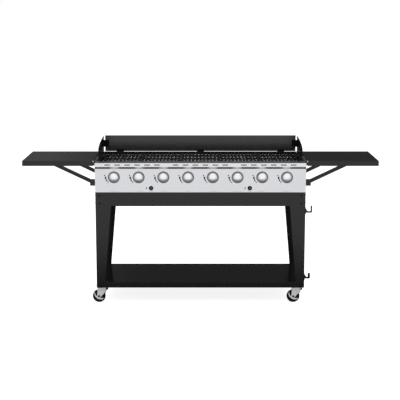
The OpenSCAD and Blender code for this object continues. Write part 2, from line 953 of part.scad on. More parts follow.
// Burners: tubes from the valves to the rear ledge, each with two rows of ports
module burners() {
    burner_l = body_d - box_sheet - 4 - burner_front_d;
    color(ZINC)
        for (i = [0 : burner_count - 1])
            translate([burner_x(i), front_y + burner_front_d + burner_l, burner_z])
                rotate([90, 0, 0])
                    difference() {
                        cylinder(h = burner_l, r = burner_r);
                        translate([0, 0, 2])
                            cylinder(h = burner_l, r = burner_r - burner_wall);
                        // Air openings near the mouth
                        translate([-burner_r - cut, -4, burner_l - 22])
                            cube([2 * burner_r + 2 * cut, 8, 14]);
                    }
}

// The manifold: a pipe with a riser to each valve and, at its right end, the inlet that points down
manifold_z = burner_z - valve_w / 2 - 6 - manifold_r;
inlet_end_z = leg_top_z + 8;
module gas_manifold() {
    left_x = burner_x(0) - 30;
    color(BRASS)
        union() {
            translate([left_x, front_y + manifold_d, manifold_z])
                rotate([0, 90, 0])
                    cylinder(h = inlet_x - left_x, r = manifold_r);
            translate([inlet_x, front_y + manifold_d, manifold_z])
                sphere(manifold_r);
            for (i = [0 : burner_count - 1])
                translate([burner_x(i), front_y + manifold_d, manifold_z])
                    cylinder(h = burner_z - valve_w / 2 - manifold_z, r = 6);
            translate([inlet_x, front_y + manifold_d, inlet_end_z + inlet_l - 0.1])
                cylinder(h = manifold_z - inlet_end_z - inlet_l + 0.1, r = manifold_r - 0.5);
            translate([inlet_x, front_y + manifold_d, inlet_end_z + inlet_l])
                cylinder(h = 8, r = inlet_r + 4, $fn = 6);
            translate([inlet_x, front_y + manifold_d, inlet_end_z])
                cylinder(h = inlet_l + cut, r = inlet_r);
        }
}

// Valves: each body stands on a riser against the panel and ends in an orifice at a burner's mouth
module gas_valves() {
    color(BRASS)
        for (i = [0 : burner_count - 1])
            translate([burner_x(i), front_y, burner_z])
                difference() {
                    union() {
                        translate([-valve_w / 2, panel_t, -valve_w / 2])
                            cube([valve_w, valve_back_d - panel_t, valve_w]);
                        translate([0, burner_front_d - 2, 0])
                            rotate([90, 0, 0])
                                cylinder(h = burner_front_d - 2 - valve_back_d + cut, r = 4.5);
                    }
                    translate([0, stem_end_d + face_gap, 0])
                        rotate([90, 0, 0])
                            cylinder(h = stem_end_d + face_gap + cut, r = stem_r + run_gap);
                }
}

// Knobs turn about Y with the valve's stem
stem_end_d = 26;
knob_base = bezel_h + face_gap;
knob_wall = 3;
module knob(i) {
    dome_r = knob_r - 4;
    ball_r = (dome_r * dome_r + dome_h * dome_h) / (2 * dome_h);
    color(STAINLESS)
        translate([burner_x(i - 1), front_y, burner_z])
            rotate([90, 0, 0])
                difference() {
                    union() {
                        intersection() {
                            translate([0, 0, knob_base])
                                rotate_extrude()
                                    polygon([
                                        [0, 0],
                                        [knob_r - 1, 0],
                                        [knob_r, 1],
                                        [knob_r - 0.5, knob_h - dome_h - 2],
                                        [knob_r - 4, knob_h],
                                        [0, knob_h]
                                    ]);
                            translate([0, 0, knob_base + knob_h - ball_r])
                                sphere(ball_r, $fn = 96);
                        }
                        translate([0, 0, -stem_end_d])
                            cylinder(h = stem_end_d + knob_base + cut, r = stem_r);
                    }
                    // The back of the knob is hollow around its hub
                    translate([0, 0, knob_base - cut])
                        difference() {
                            cylinder(h = cut + knob_h - dome_h - knob_wall, r = knob_r - knob_wall);
                            cylinder(h = knob_h, r = stem_r + knob_wall);
                        }
                    // A pointer groove at the top of the rim
                    translate([-1.2, knob_r - 9, knob_base + knob_h - dome_h])
                        cube([2.4, 12, dome_h + cut]);
                }
}

module knob_bezels() {
    color("#5c5d61")
        for (i = [0 : burner_count - 1])
            translate([burner_x(i), front_y, burner_z])
                rotate([90, 0, 0])
                    rotate_extrude()
                        polygon([
                            [stem_r + 4, 0],
                            [bezel_r, 0],
                            [bezel_r, bezel_h * 0.4],
                            [bezel_r - 2.5, bezel_h],
                            [stem_r + 4, bezel_h]
                        ]);
}

// Igniters: a ring and a threaded barrel in the panel, and a button that slides in it
igniter_barrel_r = button_r + 2;
igniter_ring_h = 4;
barrel_l = 26;
module igniter_place(side) {
    translate([side * igniter_x, front_y, leg_top_z + igniter_rise])
        rotate([90, 0, 0])
            children();
}

module igniter_housings() {
    color(RUBBER)
        for (side = [-1, 1])
            igniter_place(side)
                difference() {
                    union() {
                        cylinder(h = igniter_ring_h, r = igniter_ring_r);
                        translate([0, 0, -barrel_l])
                            cylinder(h = barrel_l + cut, r = igniter_barrel_r);
                        translate([0, 0, -panel_t - 5])
                            cylinder(h = 5, r = igniter_barrel_r + 3, $fn = 6);
                    }
                    translate([0, 0, -button_travel - 10])
                        cylinder(h = 40, r = button_r + run_gap);
                }
}

module igniter_button(side) {
    color("#6a6b6e")
        igniter_place(side)
            union() {
                translate([0, 0, -9])
                    cylinder(h = 9 + igniter_ring_h + 3, r = button_r);
                translate([0, 0, igniter_ring_h + 2])
                    cylinder(h = 2, r = button_r - 1.5);
            }
}

// Spark electrodes: ceramic rods through the firebox's front wall, with their leads
electrode_out = 30;
electrode_l = 45;
electrode_r = 3.5;
electrode_plate = 20;
electrode_x = burner_x(burner_count / 2 + 1) - electrode_out;
module spark_electrodes() {
    rod_z = burner_z + burner_r + 2;
    rod_start_d = firebox_front_d + box_sheet;
    color("#e8e4da")
        for (side = [-1, 1])
            mirrored(side)
                translate([electrode_x, front_y + rod_start_d, rod_z]) {
                    translate([0, electrode_l, 0])
                        rotate([90, 0, 0])
                            cylinder(h = electrode_l, r = electrode_r);
                    translate([0, electrode_l * 4 / 3, 0])
                        rotate([90, 0, 0])
                            cylinder(h = electrode_l / 2, r = electrode_r / 3);
                    translate([-electrode_plate / 2, 0, -electrode_plate * 0.4])
                        cube([electrode_plate, box_sheet, electrode_plate * 0.8]);
                }
}

// Grease tray: a pan that slides out to the back on two runners
tray_front_d = firebox_front_d + box_sheet + 6;
tray_l = body_d + tray_t - tray_front_d;
runner_t = 1.5;
grip_w = 200;
module grease_tray() {
    z = leg_top_z + tray_rise;
    color("#8e9094")
        union() {
            translate([-tray_w / 2, front_y + tray_front_d, z])
                difference() {
                    cube([tray_w, tray_l, tray_h]);
                    translate([tray_t, tray_t, tray_t])
                        cube([tray_w - 2 * tray_t, tray_l - 2 * tray_t, tray_h]);
                }
            // A folded grip along the rear edge
            translate([-grip_w / 2, rear_y, z + tray_h / 2])
                cube([grip_w, tray_grip_out, tray_t]);
            translate([-grip_w / 2, rear_y + tray_grip_out - tray_t, z + tray_h / 2 - 7])
                cube([grip_w, tray_t, 7 + tray_t]);
        }
}

module tray_runners() {
    z = leg_top_z + tray_rise - face_gap;
    runner_w = 12;
    runner_h = 14;
    outer_x = tray_w / 2 + face_gap;
    front_d = firebox_front_d + box_sheet;
    rear_d = body_d - box_sheet - ledge_w;
    color(ZINC)
        both_sides() {
            yz_plate(outer_x - runner_w, runner_w + runner_t)
                strip(front_d, rear_d, z - runner_t, z);
            yz_plate(outer_x, runner_t)
                strip(front_d, rear_d, z - runner_t, z + runner_h);
            // A tab that stands on the rear flange, beside the tray's slot
            yz_plate(outer_x, tray_slot_side + 2 * runner_w - outer_x)
                strip(rear_d - runner_w, body_d - box_sheet, slot_open_z, z);
        }
}

// Wind guard
guard_z = rear_top_z + guard_gap;
guard_top_z = guard_z + guard_h;
wing_front_y = front_y + ledge_d + wing_setback;
wing_l = rear_y - wing_front_y;
foot_w = 52;
foot_bolt_z = guard_z + 7;
foot_low_z = grate_ledge_z - 8;
corner_z = guard_z + 32;
corner_h = 50;
corner_l = 28;
rim_bolt_in = 60;

module wind_guard_back() {
    color(BLACK)
        difference() {
            union() {
                xz_plate(front_y + guard_d, guard_t)
                    translate([-guard_w / 2, guard_z])
                        square([guard_w, guard_h]);
                translate([-guard_w / 2, front_y + guard_d, guard_top_z - guard_t])
                    cube([guard_w, guard_t + nut_h, guard_t]);
            }
            guard_bolt_places()
                bolt_hole(guard_t + bracket_t);
        }
}

// A wing rises along a quarter of an ellipse, from its front edge to its full height
module wing_outline() {
    steps = 16;
    rise = guard_top_z - 2 - wall_top_z - wing_front_h;
    polygon(concat(
        [[wing_front_y, wall_top_z], [wing_front_y, wall_top_z + wing_front_h]],
        [for (i = [1 : steps])
            let (a = 90 * i / steps)
            [rear_y - wing_l * cos(a), wall_top_z + wing_front_h + rise * sin(a)]],
        [[rear_y, wall_top_z]]
    ));
}

module wind_guard_wing(side) {
    color(BLACK)
        mirrored(side)
            difference() {
                union() {
                    yz_plate(wing_x, guard_t)
                        wing_outline();
                    translate([side_x - rim_w, wing_front_y + 20, wall_top_z])
                        cube([wing_x + guard_t - side_x + rim_w, wing_l - 40, guard_t]);
                }
                wing_bolt_places()
                    bolt_hole(guard_t + bracket_t);
                rim_bolt_places()
                    bolt_hole(guard_t + box_sheet, small_bolt_r);
            }
}

// Bolts of the rear panel's feet above the firebox, along +Y
module guard_bolt_places() {
    for (foot = [-1 : 1], k = [-0.5, 0.5])
        translate([foot * foot_pitch + k * foot_bolt_pitch, front_y + body_d, foot_bolt_z])
            rotate([-90, 0, 0])
                children();
    for (side = [-1, 1], k = [-0.3, 0.3])
        translate([
            side * (guard_w / 2 - 14),
            front_y + body_d,
            corner_z + corner_h / 2 + k * corner_h
        ])
            rotate([-90, 0, 0])
                children();
}

// Bolts of the corner brackets through a wing, along +X
module wing_bolt_places() {
    for (k = [-0.3, 0.3])
        translate([wing_x - bracket_t, rear_y - corner_l / 2, corner_z + corner_h / 2 + k * corner_h])
            rotate([0, 90, 0])
                children();
}

// Bolts of a wing's foot through the firebox's rim, pointing down
module rim_bolt_places() {
    for (y = [wing_front_y + rim_bolt_in, rear_y - rim_bolt_in])
        translate([(wing_x + side_x - rim_w) / 2 - 0.1, y, wall_top_z + guard_t])
            rotate([180, 0, 0])
                children();
}

module wind_guard_brackets() {
    color(BLACK) {
        for (foot = [-1 : 1])
            difference() {
                xz_plate(rear_y, bracket_t)
                    translate([foot * foot_pitch, (foot_bolt_z + foot_low_z) / 2])
                        rounded_rect(foot_w, foot_bolt_z - foot_low_z + 16, 4);
                guard_bolt_places()
                    bolt_hole(bracket_t);
                body_bolt_places()
                    bolt_hole(bracket_t);
            }
        both_sides()
            difference() {
                union() {
                    translate([guard_w / 2 - corner_l, rear_y, corner_z])
                        cube([wing_x - guard_w / 2 + corner_l, bracket_t, corner_h]);
                    translate([wing_x - bracket_t, rear_y - corner_l, corner_z])
                        cube([bracket_t, corner_l + bracket_t, corner_h]);
                }
                guard_bolt_places()
                    bolt_hole(bracket_t);
                wing_bolt_places()
                    bolt_hole(bracket_t);
            }
    }
}

// Bolts through the firebox's walls: the rear feet, the hinges and the arm brackets
hinge_ear_h = 24;
hinge_flange_l = 32;
module side_bolt(d, z) {
    for (side = [-1, 1])
        mirrored(side)
            translate([side_x + bracket_t, front_y + d, z])
                rotate([0, -90, 0])
                    children();
}

module body_bolt_places() {
    for (foot = [-1 : 1], k = [-0.5, 0.5])
        translate([foot * foot_pitch + k * foot_bolt_pitch, rear_y + bracket_t, foot_low_z])
            rotate([90, 0, 0])
                children();
    for (d = arm_bolt_ds)
        side_bolt(d, arm_bracket_z)
            children();
    for (d = hinge_bolt_ds)
        side_bolt(d, hinge_z - 4)
            children();
}

// Side tables. The hinge axis runs along Y near the table's inner edge.
skirt_z = table_z - skirt_h;
ear_front_d = table_t + face_gap;
ear_rear_d = table_w - table_t - face_gap - bracket_t;
hinge_bolt_ds = [ear_front_d + 22, ear_rear_d + bracket_t - 22];
module side_table(side) {
    notch_l = hinge_flange_l + 6;
    color(BLACK)
        mirrored(side)
            difference() {
                translate([table_x + table_l / 2, front_y + table_w / 2, skirt_z])
                    pan(table_l, table_w, skirt_h, table_t, 3);
                // The inner edge stops short of the hinges
                for (y = [front_y + table_t, front_y + table_w - table_t - notch_l])
                    translate([table_x - cut, y, skirt_z - cut])
                        cube([table_t + cut + 3, notch_l, skirt_h - table_t + cut]);
                translate([hinge_x, front_y + table_w + cut, hinge_z])
                    rotate([90, 0, 0])
                        cylinder(h = table_w + 2 * cut, r = hinge_pin_r + run_gap);
            }
}

// Each hinge is an ear on the body with a headed pin through the table's edge
module hinge_ear() {
    ear_l = hinge_x - side_x;
    union() {
        xz_plate(0, bracket_t)
            union() {
                translate([side_x, hinge_z - hinge_ear_h / 2])
                    square([ear_l, hinge_ear_h]);
                translate([hinge_x, hinge_z])
                    circle(hinge_ear_h / 2);
            }
        translate([side_x, 0, hinge_z - hinge_ear_h / 2])
            cube([bracket_t, hinge_flange_l, hinge_ear_h]);
        translate([hinge_x, bracket_t, hinge_z])
            rotate([90, 0, 0])
                cylinder(h = bracket_t + 2 * face_gap + table_t, r = hinge_pin_r);
        translate([hinge_x, -2 * face_gap - table_t, hinge_z])
            rotate([90, 0, 0])
                cylinder(h = 3, r = hinge_pin_r + 3);
    }
}

module table_hinges() {
    color(BLACK)
        both_sides()
            difference() {
                union() {
                    translate([0, front_y + ear_front_d, 0])
                        hinge_ear();
                    translate([0, front_y + ear_rear_d + bracket_t, 0])
                        mirror([0, 1, 0])
                            hinge_ear();
                }
                body_bolt_places()
                    bolt_hole(bracket_t);
            }
}

// A support arm in its own frame: pivot at the origin, tip along +X, web at y = 0
module arm_blank() {
    groove_w = 3;
    difference() {
        union() {
            xz_plate(0, 2)
                union() {
                    translate([0, -arm_w / 2])
                        square([arm_l, arm_w]);
                    circle(arm_w / 2);
                    translate([arm_l, 0])
                        circle(arm_w / 2);
                }
            for (z = [-arm_w / 2, arm_w / 2 - 1.5])
                translate([0, 0, z])
                    cube([arm_l, arm_d, 1.5]);
        }
        translate([18, -cut, -groove_w / 2])
            cube([arm_l - 30, cut + 0.8, groove_w]);
        translate([0, 3, 0])
            rotate([90, 0, 0])
                cylinder(h = 4, r = hinge_pin_r + run_gap);
    }
}

module support_arm(side, back) {
    color(BLACK)
        mirrored(side)
            translate([arm_pivot_x, front_y + arm_first_d + (back ? arm_pitch : 0) + face_gap, arm_pivot_z])
                rotate([0, -arm_angle, 0])
                    arm_blank();
}

// Each arm hangs between the two cheeks of a folded bracket
arm_bracket_z = arm_pivot_z - 6;
arm_flange_l = 15;
cheek_gap = arm_d + 2 * face_gap;
arm_bolt_ds = [
    for (first = [arm_first_d, arm_first_d + arm_pitch])
        each [first - bracket_t - arm_flange_l / 2, first + cheek_gap + bracket_t + arm_flange_l / 2]
];
module arm_bracket() {
    union() {
        for (y = [-bracket_t, cheek_gap])
            xz_plate(y, bracket_t)
                translate([side_x + arm_bracket_out / 2, arm_bracket_z])
                    rounded_rect(arm_bracket_out, arm_bracket_h, 0.5);
        translate([side_x, -bracket_t - arm_flange_l, arm_bracket_z - arm_bracket_h / 2])
            cube([bracket_t, cheek_gap + 2 * (bracket_t + arm_flange_l), arm_bracket_h]);
        translate([arm_pivot_x, cheek_gap + bracket_t, arm_pivot_z])
            rotate([90, 0, 0])
                cylinder(h = cheek_gap + 2 * bracket_t, r = hinge_pin_r);
    }
}

module arm_brackets() {
    color(BLACK)
        both_sides()
            difference() {
                union() {
                    for (first = [arm_first_d, arm_first_d + arm_pitch])
                        translate([0, front_y + first, 0])
                            arm_bracket();
                }
                body_bolt_places()
                    bolt_hole(bracket_t);
            }
}

// Gas bottle hooks on the right front leg: a cut plate on a bolted foot
hook_d = 14;
hook_foot_w = 34;
hook_foot_h = 60;
hook_bolt_out = 10;
hook_bolt_rise = 16;

// A hook's outline from the leg's face: arm, upturned tip and gusset
module hook_outline(reach, arm, tip_w, tip_h, gusset_h) {
    polygon([
        [bracket_t / 2, 0],
        [reach - 4, 0],
        [reach, 4],
        [reach, tip_h - 2],
        [reach - 2, tip_h],
        [reach - tip_w + 2, tip_h],
        [reach - tip_w, tip_h - 2],
        [reach - tip_w, arm],
        [18, arm],
        [bracket_t / 2, gusset_h]
    ]);
}

module tank_hooks() {
    color(BLACK)
        difference() {
            for (hook = [
                [hook_upper_rise, hook_reach, 11, 11, 49, 37],
                [hook_lower_rise, hook_reach * 0.86, 12, 16, 40, 34]
            ])
                translate([side_x, front_y + hook_d, caster_h + hook[0]])
                    union() {
                        xz_plate((hook_foot_w - hook_t) / 2, hook_t)
                            hook_outline(hook[1], hook[2], hook[3], hook[4], hook[5]);
                        translate([0, 0, -hook_foot_h / 4])
                            cube([bracket_t, hook_foot_w, hook_foot_h]);
                    }
            hook_bolt_places()
                bolt_hole(bracket_t);
        }
}

// Bolts of the two hooks through the leg's face, pointing into the leg
module hook_bolt_places() {
    for (rise = [hook_upper_rise, hook_lower_rise], k = [-1, 1])
        translate([
            side_x + bracket_t,
            front_y + hook_d + hook_foot_w / 2 + k * hook_bolt_out,
            caster_h + rise + hook_foot_h / 4 + k * hook_bolt_rise
        ])
            rotate([0, -90, 0])
                children();
}

// All bolts, each with its nut
module fasteners() {
    color(ZINC) {
        for (side = [-1, 1], back = [false, true])
            leg_corner(side, back)
                leg_bolt_places()
                    bolt(leg_grip);
        guard_bolt_places()
            bolt(guard_t + bracket_t);
        for (side = [-1, 1])
            mirrored(side) {
                wing_bolt_places()
                    bolt(guard_t + bracket_t);
                rim_bolt_places()
                    bolt(guard_t + box_sheet, small_bolt_r);
            }
        body_bolt_places()
            bolt(bracket_t + box_sheet);
        hook_bolt_places()
            bolt(bracket_t + leg_t);
    }
}

leg(-1, false);  // leg_front_left
leg(1, false);  // leg_front_right
leg(-1, true);  // leg_rear_left
leg(1, true);  // leg_rear_right
cross_rail(false);  // front_rail
cross_rail(true);  // rear_rail
side_rails();
bottom_shelf();
fasteners();
caster_plates();
caster_fork(-1, false);  // caster_fork_front_left
caster_fork(1, false);  // caster_fork_front_right
caster_fork(-1, true);  // caster_fork_rear_left
caster_fork(1, true);  // caster_fork_rear_right
caster_wheel(-1, false);  // caster_wheel_front_left
caster_wheel(1, false);  // caster_wheel_front_right
caster_wheel(-1, true);  // caster_wheel_rear_left
caster_wheel(1, true);  // caster_wheel_rear_right
caster_brake(-1);  // caster_brake_left
caster_brake(1);  // caster_brake_right
firebox();
control_panel();
vent_trim();
cooking_grate(1);  // cooking_grate_1
cooking_grate(2);  // cooking_grate_2
cooking_grate(3);  // cooking_grate_3
cooking_grate(4);  // cooking_grate_4
cooking_grate(5);  // cooking_grate_5
heat_plates();
burners();
gas_manifold();
gas_valves();
knob(1);  // knob_1
knob(2);  // knob_2
knob(3);  // knob_3
knob(4);  // knob_4
knob(5);  // knob_5
knob(6);  // knob_6
knob(7);  // knob_7
knob(8);  // knob_8
knob_bezels();
igniter_button(-1);  // igniter_button_left
igniter_button(1);  // igniter_button_right
igniter_housings();
spark_electrodes();
grease_tray();
tray_runners();
wind_guard_back();
wind_guard_wing(-1);  // wind_guard_left
wind_guard_wing(1);  // wind_guard_right
wind_guard_brackets();
side_table(-1);  // side_table_left
side_table(1);  // side_table_right
table_hinges();
support_arm(-1, false);  // support_arm_left_front
support_arm(-1, true);  // support_arm_left_rear
support_arm(1, false);  // support_arm_right_front
support_arm(1, true);  // support_arm_right_rear
arm_brackets();
tank_hooks();
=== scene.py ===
"""Looks of a wide outdoor gas grill on a cart: finishes, rounded sheet edges and turned details.

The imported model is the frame. Every piece is in metres and rides on the body of the part that it
belongs to. The front of the grill faces -Y, X runs to the cook's right and Z up. The classes of
the sub-assemblies give their sizes in millimetres, and the studio gives its own in metres.
"""

import json
import logging
import math
from dataclasses import dataclass, field
from enum import Enum
from typing import Optional, Sequence, Union

import bmesh
import bpy
from mathutils import Matrix, Vector

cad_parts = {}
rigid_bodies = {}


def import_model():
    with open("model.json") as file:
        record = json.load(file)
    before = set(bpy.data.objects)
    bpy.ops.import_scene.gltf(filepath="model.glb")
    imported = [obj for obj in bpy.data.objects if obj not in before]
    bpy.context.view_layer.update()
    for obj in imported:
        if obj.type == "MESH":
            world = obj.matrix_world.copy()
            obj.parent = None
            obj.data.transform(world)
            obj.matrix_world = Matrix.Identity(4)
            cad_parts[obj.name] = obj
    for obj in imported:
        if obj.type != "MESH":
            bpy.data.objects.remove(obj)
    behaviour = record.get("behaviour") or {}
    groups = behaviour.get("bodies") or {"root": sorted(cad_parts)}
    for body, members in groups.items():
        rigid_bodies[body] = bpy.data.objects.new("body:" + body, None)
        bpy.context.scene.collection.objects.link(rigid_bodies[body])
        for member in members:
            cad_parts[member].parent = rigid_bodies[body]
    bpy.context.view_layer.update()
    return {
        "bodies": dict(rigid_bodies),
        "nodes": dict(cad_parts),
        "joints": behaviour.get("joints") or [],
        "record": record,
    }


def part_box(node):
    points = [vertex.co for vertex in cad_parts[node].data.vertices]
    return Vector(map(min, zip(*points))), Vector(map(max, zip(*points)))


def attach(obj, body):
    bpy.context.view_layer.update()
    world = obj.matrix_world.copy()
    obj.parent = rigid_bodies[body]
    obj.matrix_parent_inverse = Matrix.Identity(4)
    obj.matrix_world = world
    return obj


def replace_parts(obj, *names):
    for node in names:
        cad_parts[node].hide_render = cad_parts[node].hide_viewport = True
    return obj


log = logging.getLogger("grill")

Pair = tuple[float, float]
Triple = tuple[float, float, float]
Shape = bmesh.types.BMesh
Socket = bpy.types.NodeSocket
Value = Union[Socket, float, Triple]

MM = 0.001
EDGE_MARK = "edge_mark"
ORIGIN = (0.0, 0.0, 0.0)
UP = (0.0, 0.0, 1.0)
WHITE = (1.0, 1.0, 1.0)
FACING_FRONT = Matrix.Rotation(math.radians(90.0), 4, "X")


class Slot(Enum):
    """The record's material slots."""

    POWDER_BLACK = "powder_black"
    STAINLESS = "stainless"
    CAST_IRON = "cast_iron"
    CHROME = "chrome"
    BEZEL_GREY = "bezel_grey"
    ZINC = "zinc_plate"
    RUBBER = "wheel_rubber"
    BLACK_PLASTIC = "black_plastic"
    GREY_PLASTIC = "grey_plastic"
    PIPE_STEEL = "pipe_steel"
    BRASS = "brass"
    CERAMIC = "ceramic"
    TRAY_STEEL = "tray_steel"


class Side(Enum):
    """The two sides of the grill, by the word that node names have."""

    LEFT = "left"
    RIGHT = "right"


class End(Enum):
    """The two ends of the grill's depth, by the word that node names have."""

    FRONT = "front"
    REAR = "rear"


def even(value: float) -> Triple:
    """Gives a value three times, for a grey or for a grain that has no direction."""
    return (value, value, value)


# Shader nodes


@dataclass
class NodeSketch:
    """Adds nodes to one tree, side by side."""

    tree: bpy.types.NodeTree
    column: int = 0
    column_width: int = 180

    @classmethod
    def fresh(cls, owner: Union[bpy.types.Material, bpy.types.World]) -> "NodeSketch":
        """Starts a sketch on the emptied tree of a material or a world.

        Args:
            owner: The material or world.

        Returns:
            The sketch.
        """
        owner.use_nodes = True
        owner.node_tree.nodes.clear()
        return cls(owner.node_tree)

    def feed(self, value: Value, target: Socket) -> None:
        """Gives an input its value.

        Args:
            value: A socket to link, a number, or a colour of three numbers.
            target: The input.
        """
        if isinstance(value, Socket):
            self.tree.links.new(value, target)
        elif isinstance(value, tuple):
            target.default_value = (*value, 1.0)
        else:
            target.default_value = value

    def add(
        self, kind: str, inputs: Optional[dict[Union[str, int], Value]] = None, **settings: object
    ) -> bpy.types.Node:
        """Adds one node.

        Args:
            kind: Blender's name for the node's type.
            inputs: What the node's inputs get, by their name or number.
            settings: Properties of the node, by name.

        Returns:
            The new node.
        """
        node = self.tree.nodes.new(kind)
        node.location = (self.column * self.column_width, 0)
        self.column += 1
        for name, setting in settings.items():
            setattr(node, name, setting)
        for name, value in (inputs or {}).items():
            self.feed(value, node.inputs[name])
        return node

    def math(self, operation: str, first: Value, second: Value = 0.0) -> Socket:
        """Works out one operation on sockets or numbers."""
        return self.add("ShaderNodeMath", {0: first, 1: second}, operation=operation).outputs[0]

    def ramp(self, value: Socket, over: Pair = (0.0, 1.0), tones: Pair = (0.0, 1.0)) -> Socket:
        """Fades between two tones.

        Args:
            value: What the tone follows.
            over: The values between which it fades.
            tones: The tones at their ends.

        Returns:
            The tone.
        """
        fade = self.add("ShaderNodeMapRange", {
            "Value": value, "From Min": over[0], "From Max": over[1],
            "To Min": tones[0], "To Max": tones[1],
        })
        return fade.outputs["Result"]

    def mix(self, share: Socket, first: Value, second: Value) -> Socket:
        """Mixes two colours, which the node has at its inputs 6 and 7 and its output 2."""
        colors = {0: share, 6: first, 7: second}
        return self.add("ShaderNodeMix", colors, data_type="RGBA").outputs[2]


@dataclass
class EffectLibrary:
    """Node groups that the finishes share, each built once."""

    groups: dict[str, bpy.types.NodeTree] = field(default_factory=dict)
    grain_roughness: float = 0.6
    worn_detail: float = 4.0
    worn_over: Pair = (0.5, 0.7)
    dust_scale: float = 9.0
    dust_detail: float = 6.0

    def __post_init__(self) -> None:
        """Builds the groups."""
        self._grain()
        self._worn_edge()
        self._dust()

    def _start(
        self, name: str, inputs: dict[str, float], output: str
    ) -> tuple[NodeSketch, bpy.types.Node]:
        """Starts a group.

        Args:
            name: The group's name.
            inputs: Default of each input, by name.
            output: The output's name.

        Returns:
            The group's sketch and the node that holds its inputs.
        """
        tree = bpy.data.node_groups.new(name, "ShaderNodeTree")
        number = {"socket_type": "NodeSocketFloat"}
        for label, default in inputs.items():
            tree.interface.new_socket(label, in_out="INPUT", **number).default_value = default
        tree.interface.new_socket(output, in_out="OUTPUT", **number)
        self.groups[name] = tree
        sketch = NodeSketch(tree)
        return sketch, sketch.add("NodeGroupInput")

    def _grain(self) -> None:
        """Builds noise drawn out along the axes, for brushing, casting and coats."""
        sketch, entry = self._start("grain", self.grain_inputs(even(1.0), 2.0), "Value")
        coords = sketch.add("ShaderNodeTexCoord")
        scales = {axis: entry.outputs[f"Scale {axis}"] for axis in "XYZ"}
        scale = sketch.add("ShaderNodeCombineXYZ", scales)
        stretched = sketch.add(
            "ShaderNodeVectorMath", {0: coords.outputs["Object"], 1: scale.outputs[0]},
            operation="MULTIPLY",
        )
        noise = sketch.add("ShaderNodeTexNoise", {
            "Vector": stretched.outputs[0], "Scale": 1.0, "Detail": entry.outputs["Detail"],
            "Roughness": self.grain_roughness,
        })
        sketch.add("NodeGroupOutput", {"Value": noise.outputs["Fac"]})

    def _worn_edge(self) -> None:
        """Builds the mask of a worn coat: the mesh's edge mark, broken up by noise."""
        sketch, entry = self._start("worn_edge", {"Scale": 30.0, "Amount": 0.5}, "Mask")
        mark = sketch.add("ShaderNodeAttribute", attribute_name=EDGE_MARK)
        coords = sketch.add("ShaderNodeTexCoord")
        noise = sketch.add("ShaderNodeTexNoise", {
            "Vector": coords.outputs["Object"], "Scale": entry.outputs["Scale"],
            "Detail": self.worn_detail,
        })
        patch = sketch.ramp(noise.outputs["Fac"], self.worn_over)
        both = sketch.math("MULTIPLY", mark.outputs["Fac"], patch)
        mask = sketch.math("MULTIPLY", both, entry.outputs["Amount"])
        sketch.add("NodeGroupOutput", {"Mask": mask})

    def _dust(self) -> None:
        """Builds the mask of a thin film, in soft patches on the faces that look up."""
        sketch, entry = self._start("dust", {"Amount": 0.1}, "Mask")
        surface = sketch.add("ShaderNodeNewGeometry")
        split = sketch.add("ShaderNodeSeparateXYZ", {0: surface.outputs["Normal"]})
        up = sketch.math("MAXIMUM", split.outputs["Z"], 0.0)
        coords = sketch.add("ShaderNodeTexCoord")
        noise = sketch.add("ShaderNodeTexNoise", {
            "Vector": coords.outputs["Object"], "Scale": self.dust_scale,
            "Detail": self.dust_detail,
        })
        film = sketch.math("MULTIPLY", up, noise.outputs["Fac"])
        mask = sketch.math("MULTIPLY", film, entry.outputs["Amount"])
        sketch.add("NodeGroupOutput", {"Mask": mask})

    @staticmethod
    def grain_inputs(scales: Triple, detail: float) -> dict[str, float]:
        """Names the values that the grain group takes."""
        return {**{f"Scale {axis}": size for axis, size in zip("XYZ", scales)}, "Detail": detail}

    def place(self, sketch: NodeSketch, name: str, values: dict[str, float]) -> Socket:
        """Places a group in a material, with its own values, and gives its output."""
        return sketch.add("ShaderNodeGroup", values, node_tree=self.groups[name]).outputs[0]


# Finishes


@dataclass(frozen=True)
class Finish:
    """A surface finish: base colour, gloss, its grain in three directions, wear and dust.

    The grain's scales are per metre, and its depth is in metres.
    """

    slot: Slot
    name: str
    color: Triple
    second: Triple
    roughness: Pair
    metallic: float = 0.0
    specular: float = 0.5
    grain: Triple = even(900.0)
    grain_depth: float = 0.00002
    grain_detail: float = 2.0
    bump: float = 0.6
    patch_scale: float = 6.0
    patch_detail: float = 3.0
    worn: Triple = even(0.03)
    wear: float = 0.0
    wear_scale: float = 30.0
    dust: float = 0.0
    dust_color: Triple = (0.30, 0.29, 0.27)

    def material(self, effects: EffectLibrary) -> bpy.types.Material:
        """Builds the finish's node material.

        Args:
            effects: The shared node groups.

        Returns:
            The material.
        """
        made = bpy.data.materials.new(self.name)
        sketch = NodeSketch.fresh(made)
        blotch = effects.grain_inputs(even(self.patch_scale), self.patch_detail)
        patches = effects.place(sketch, "grain", blotch)
        fine = effects.grain_inputs(self.grain, self.grain_detail)
        grain = effects.place(sketch, "grain", fine)
        color = sketch.mix(patches, self.color, self.second)
        if self.wear > 0:
            amounts = {"Scale": self.wear_scale, "Amount": self.wear}
            color = sketch.mix(effects.place(sketch, "worn_edge", amounts), color, self.worn)
        if self.dust > 0:
            film = effects.place(sketch, "dust", {"Amount": self.dust})
            color = sketch.mix(film, color, self.dust_color)
        blend = sketch.math("MULTIPLY", sketch.math("ADD", grain, patches), 0.5)
        relief = sketch.add("ShaderNodeBump", {
            "Strength": self.bump, "Distance": self.grain_depth, "Height": grain,
        })
        shader = sketch.add("ShaderNodeBsdfPrincipled", {
            "Base Color": color, "Metallic": self.metallic, "Specular IOR Level": self.specular,
            "Roughness": sketch.ramp(blend, tones=self.roughness), "Normal": relief.outputs[0],
        })
        sketch.add("ShaderNodeOutputMaterial", {"Surface": shader.outputs[0]})
        return made


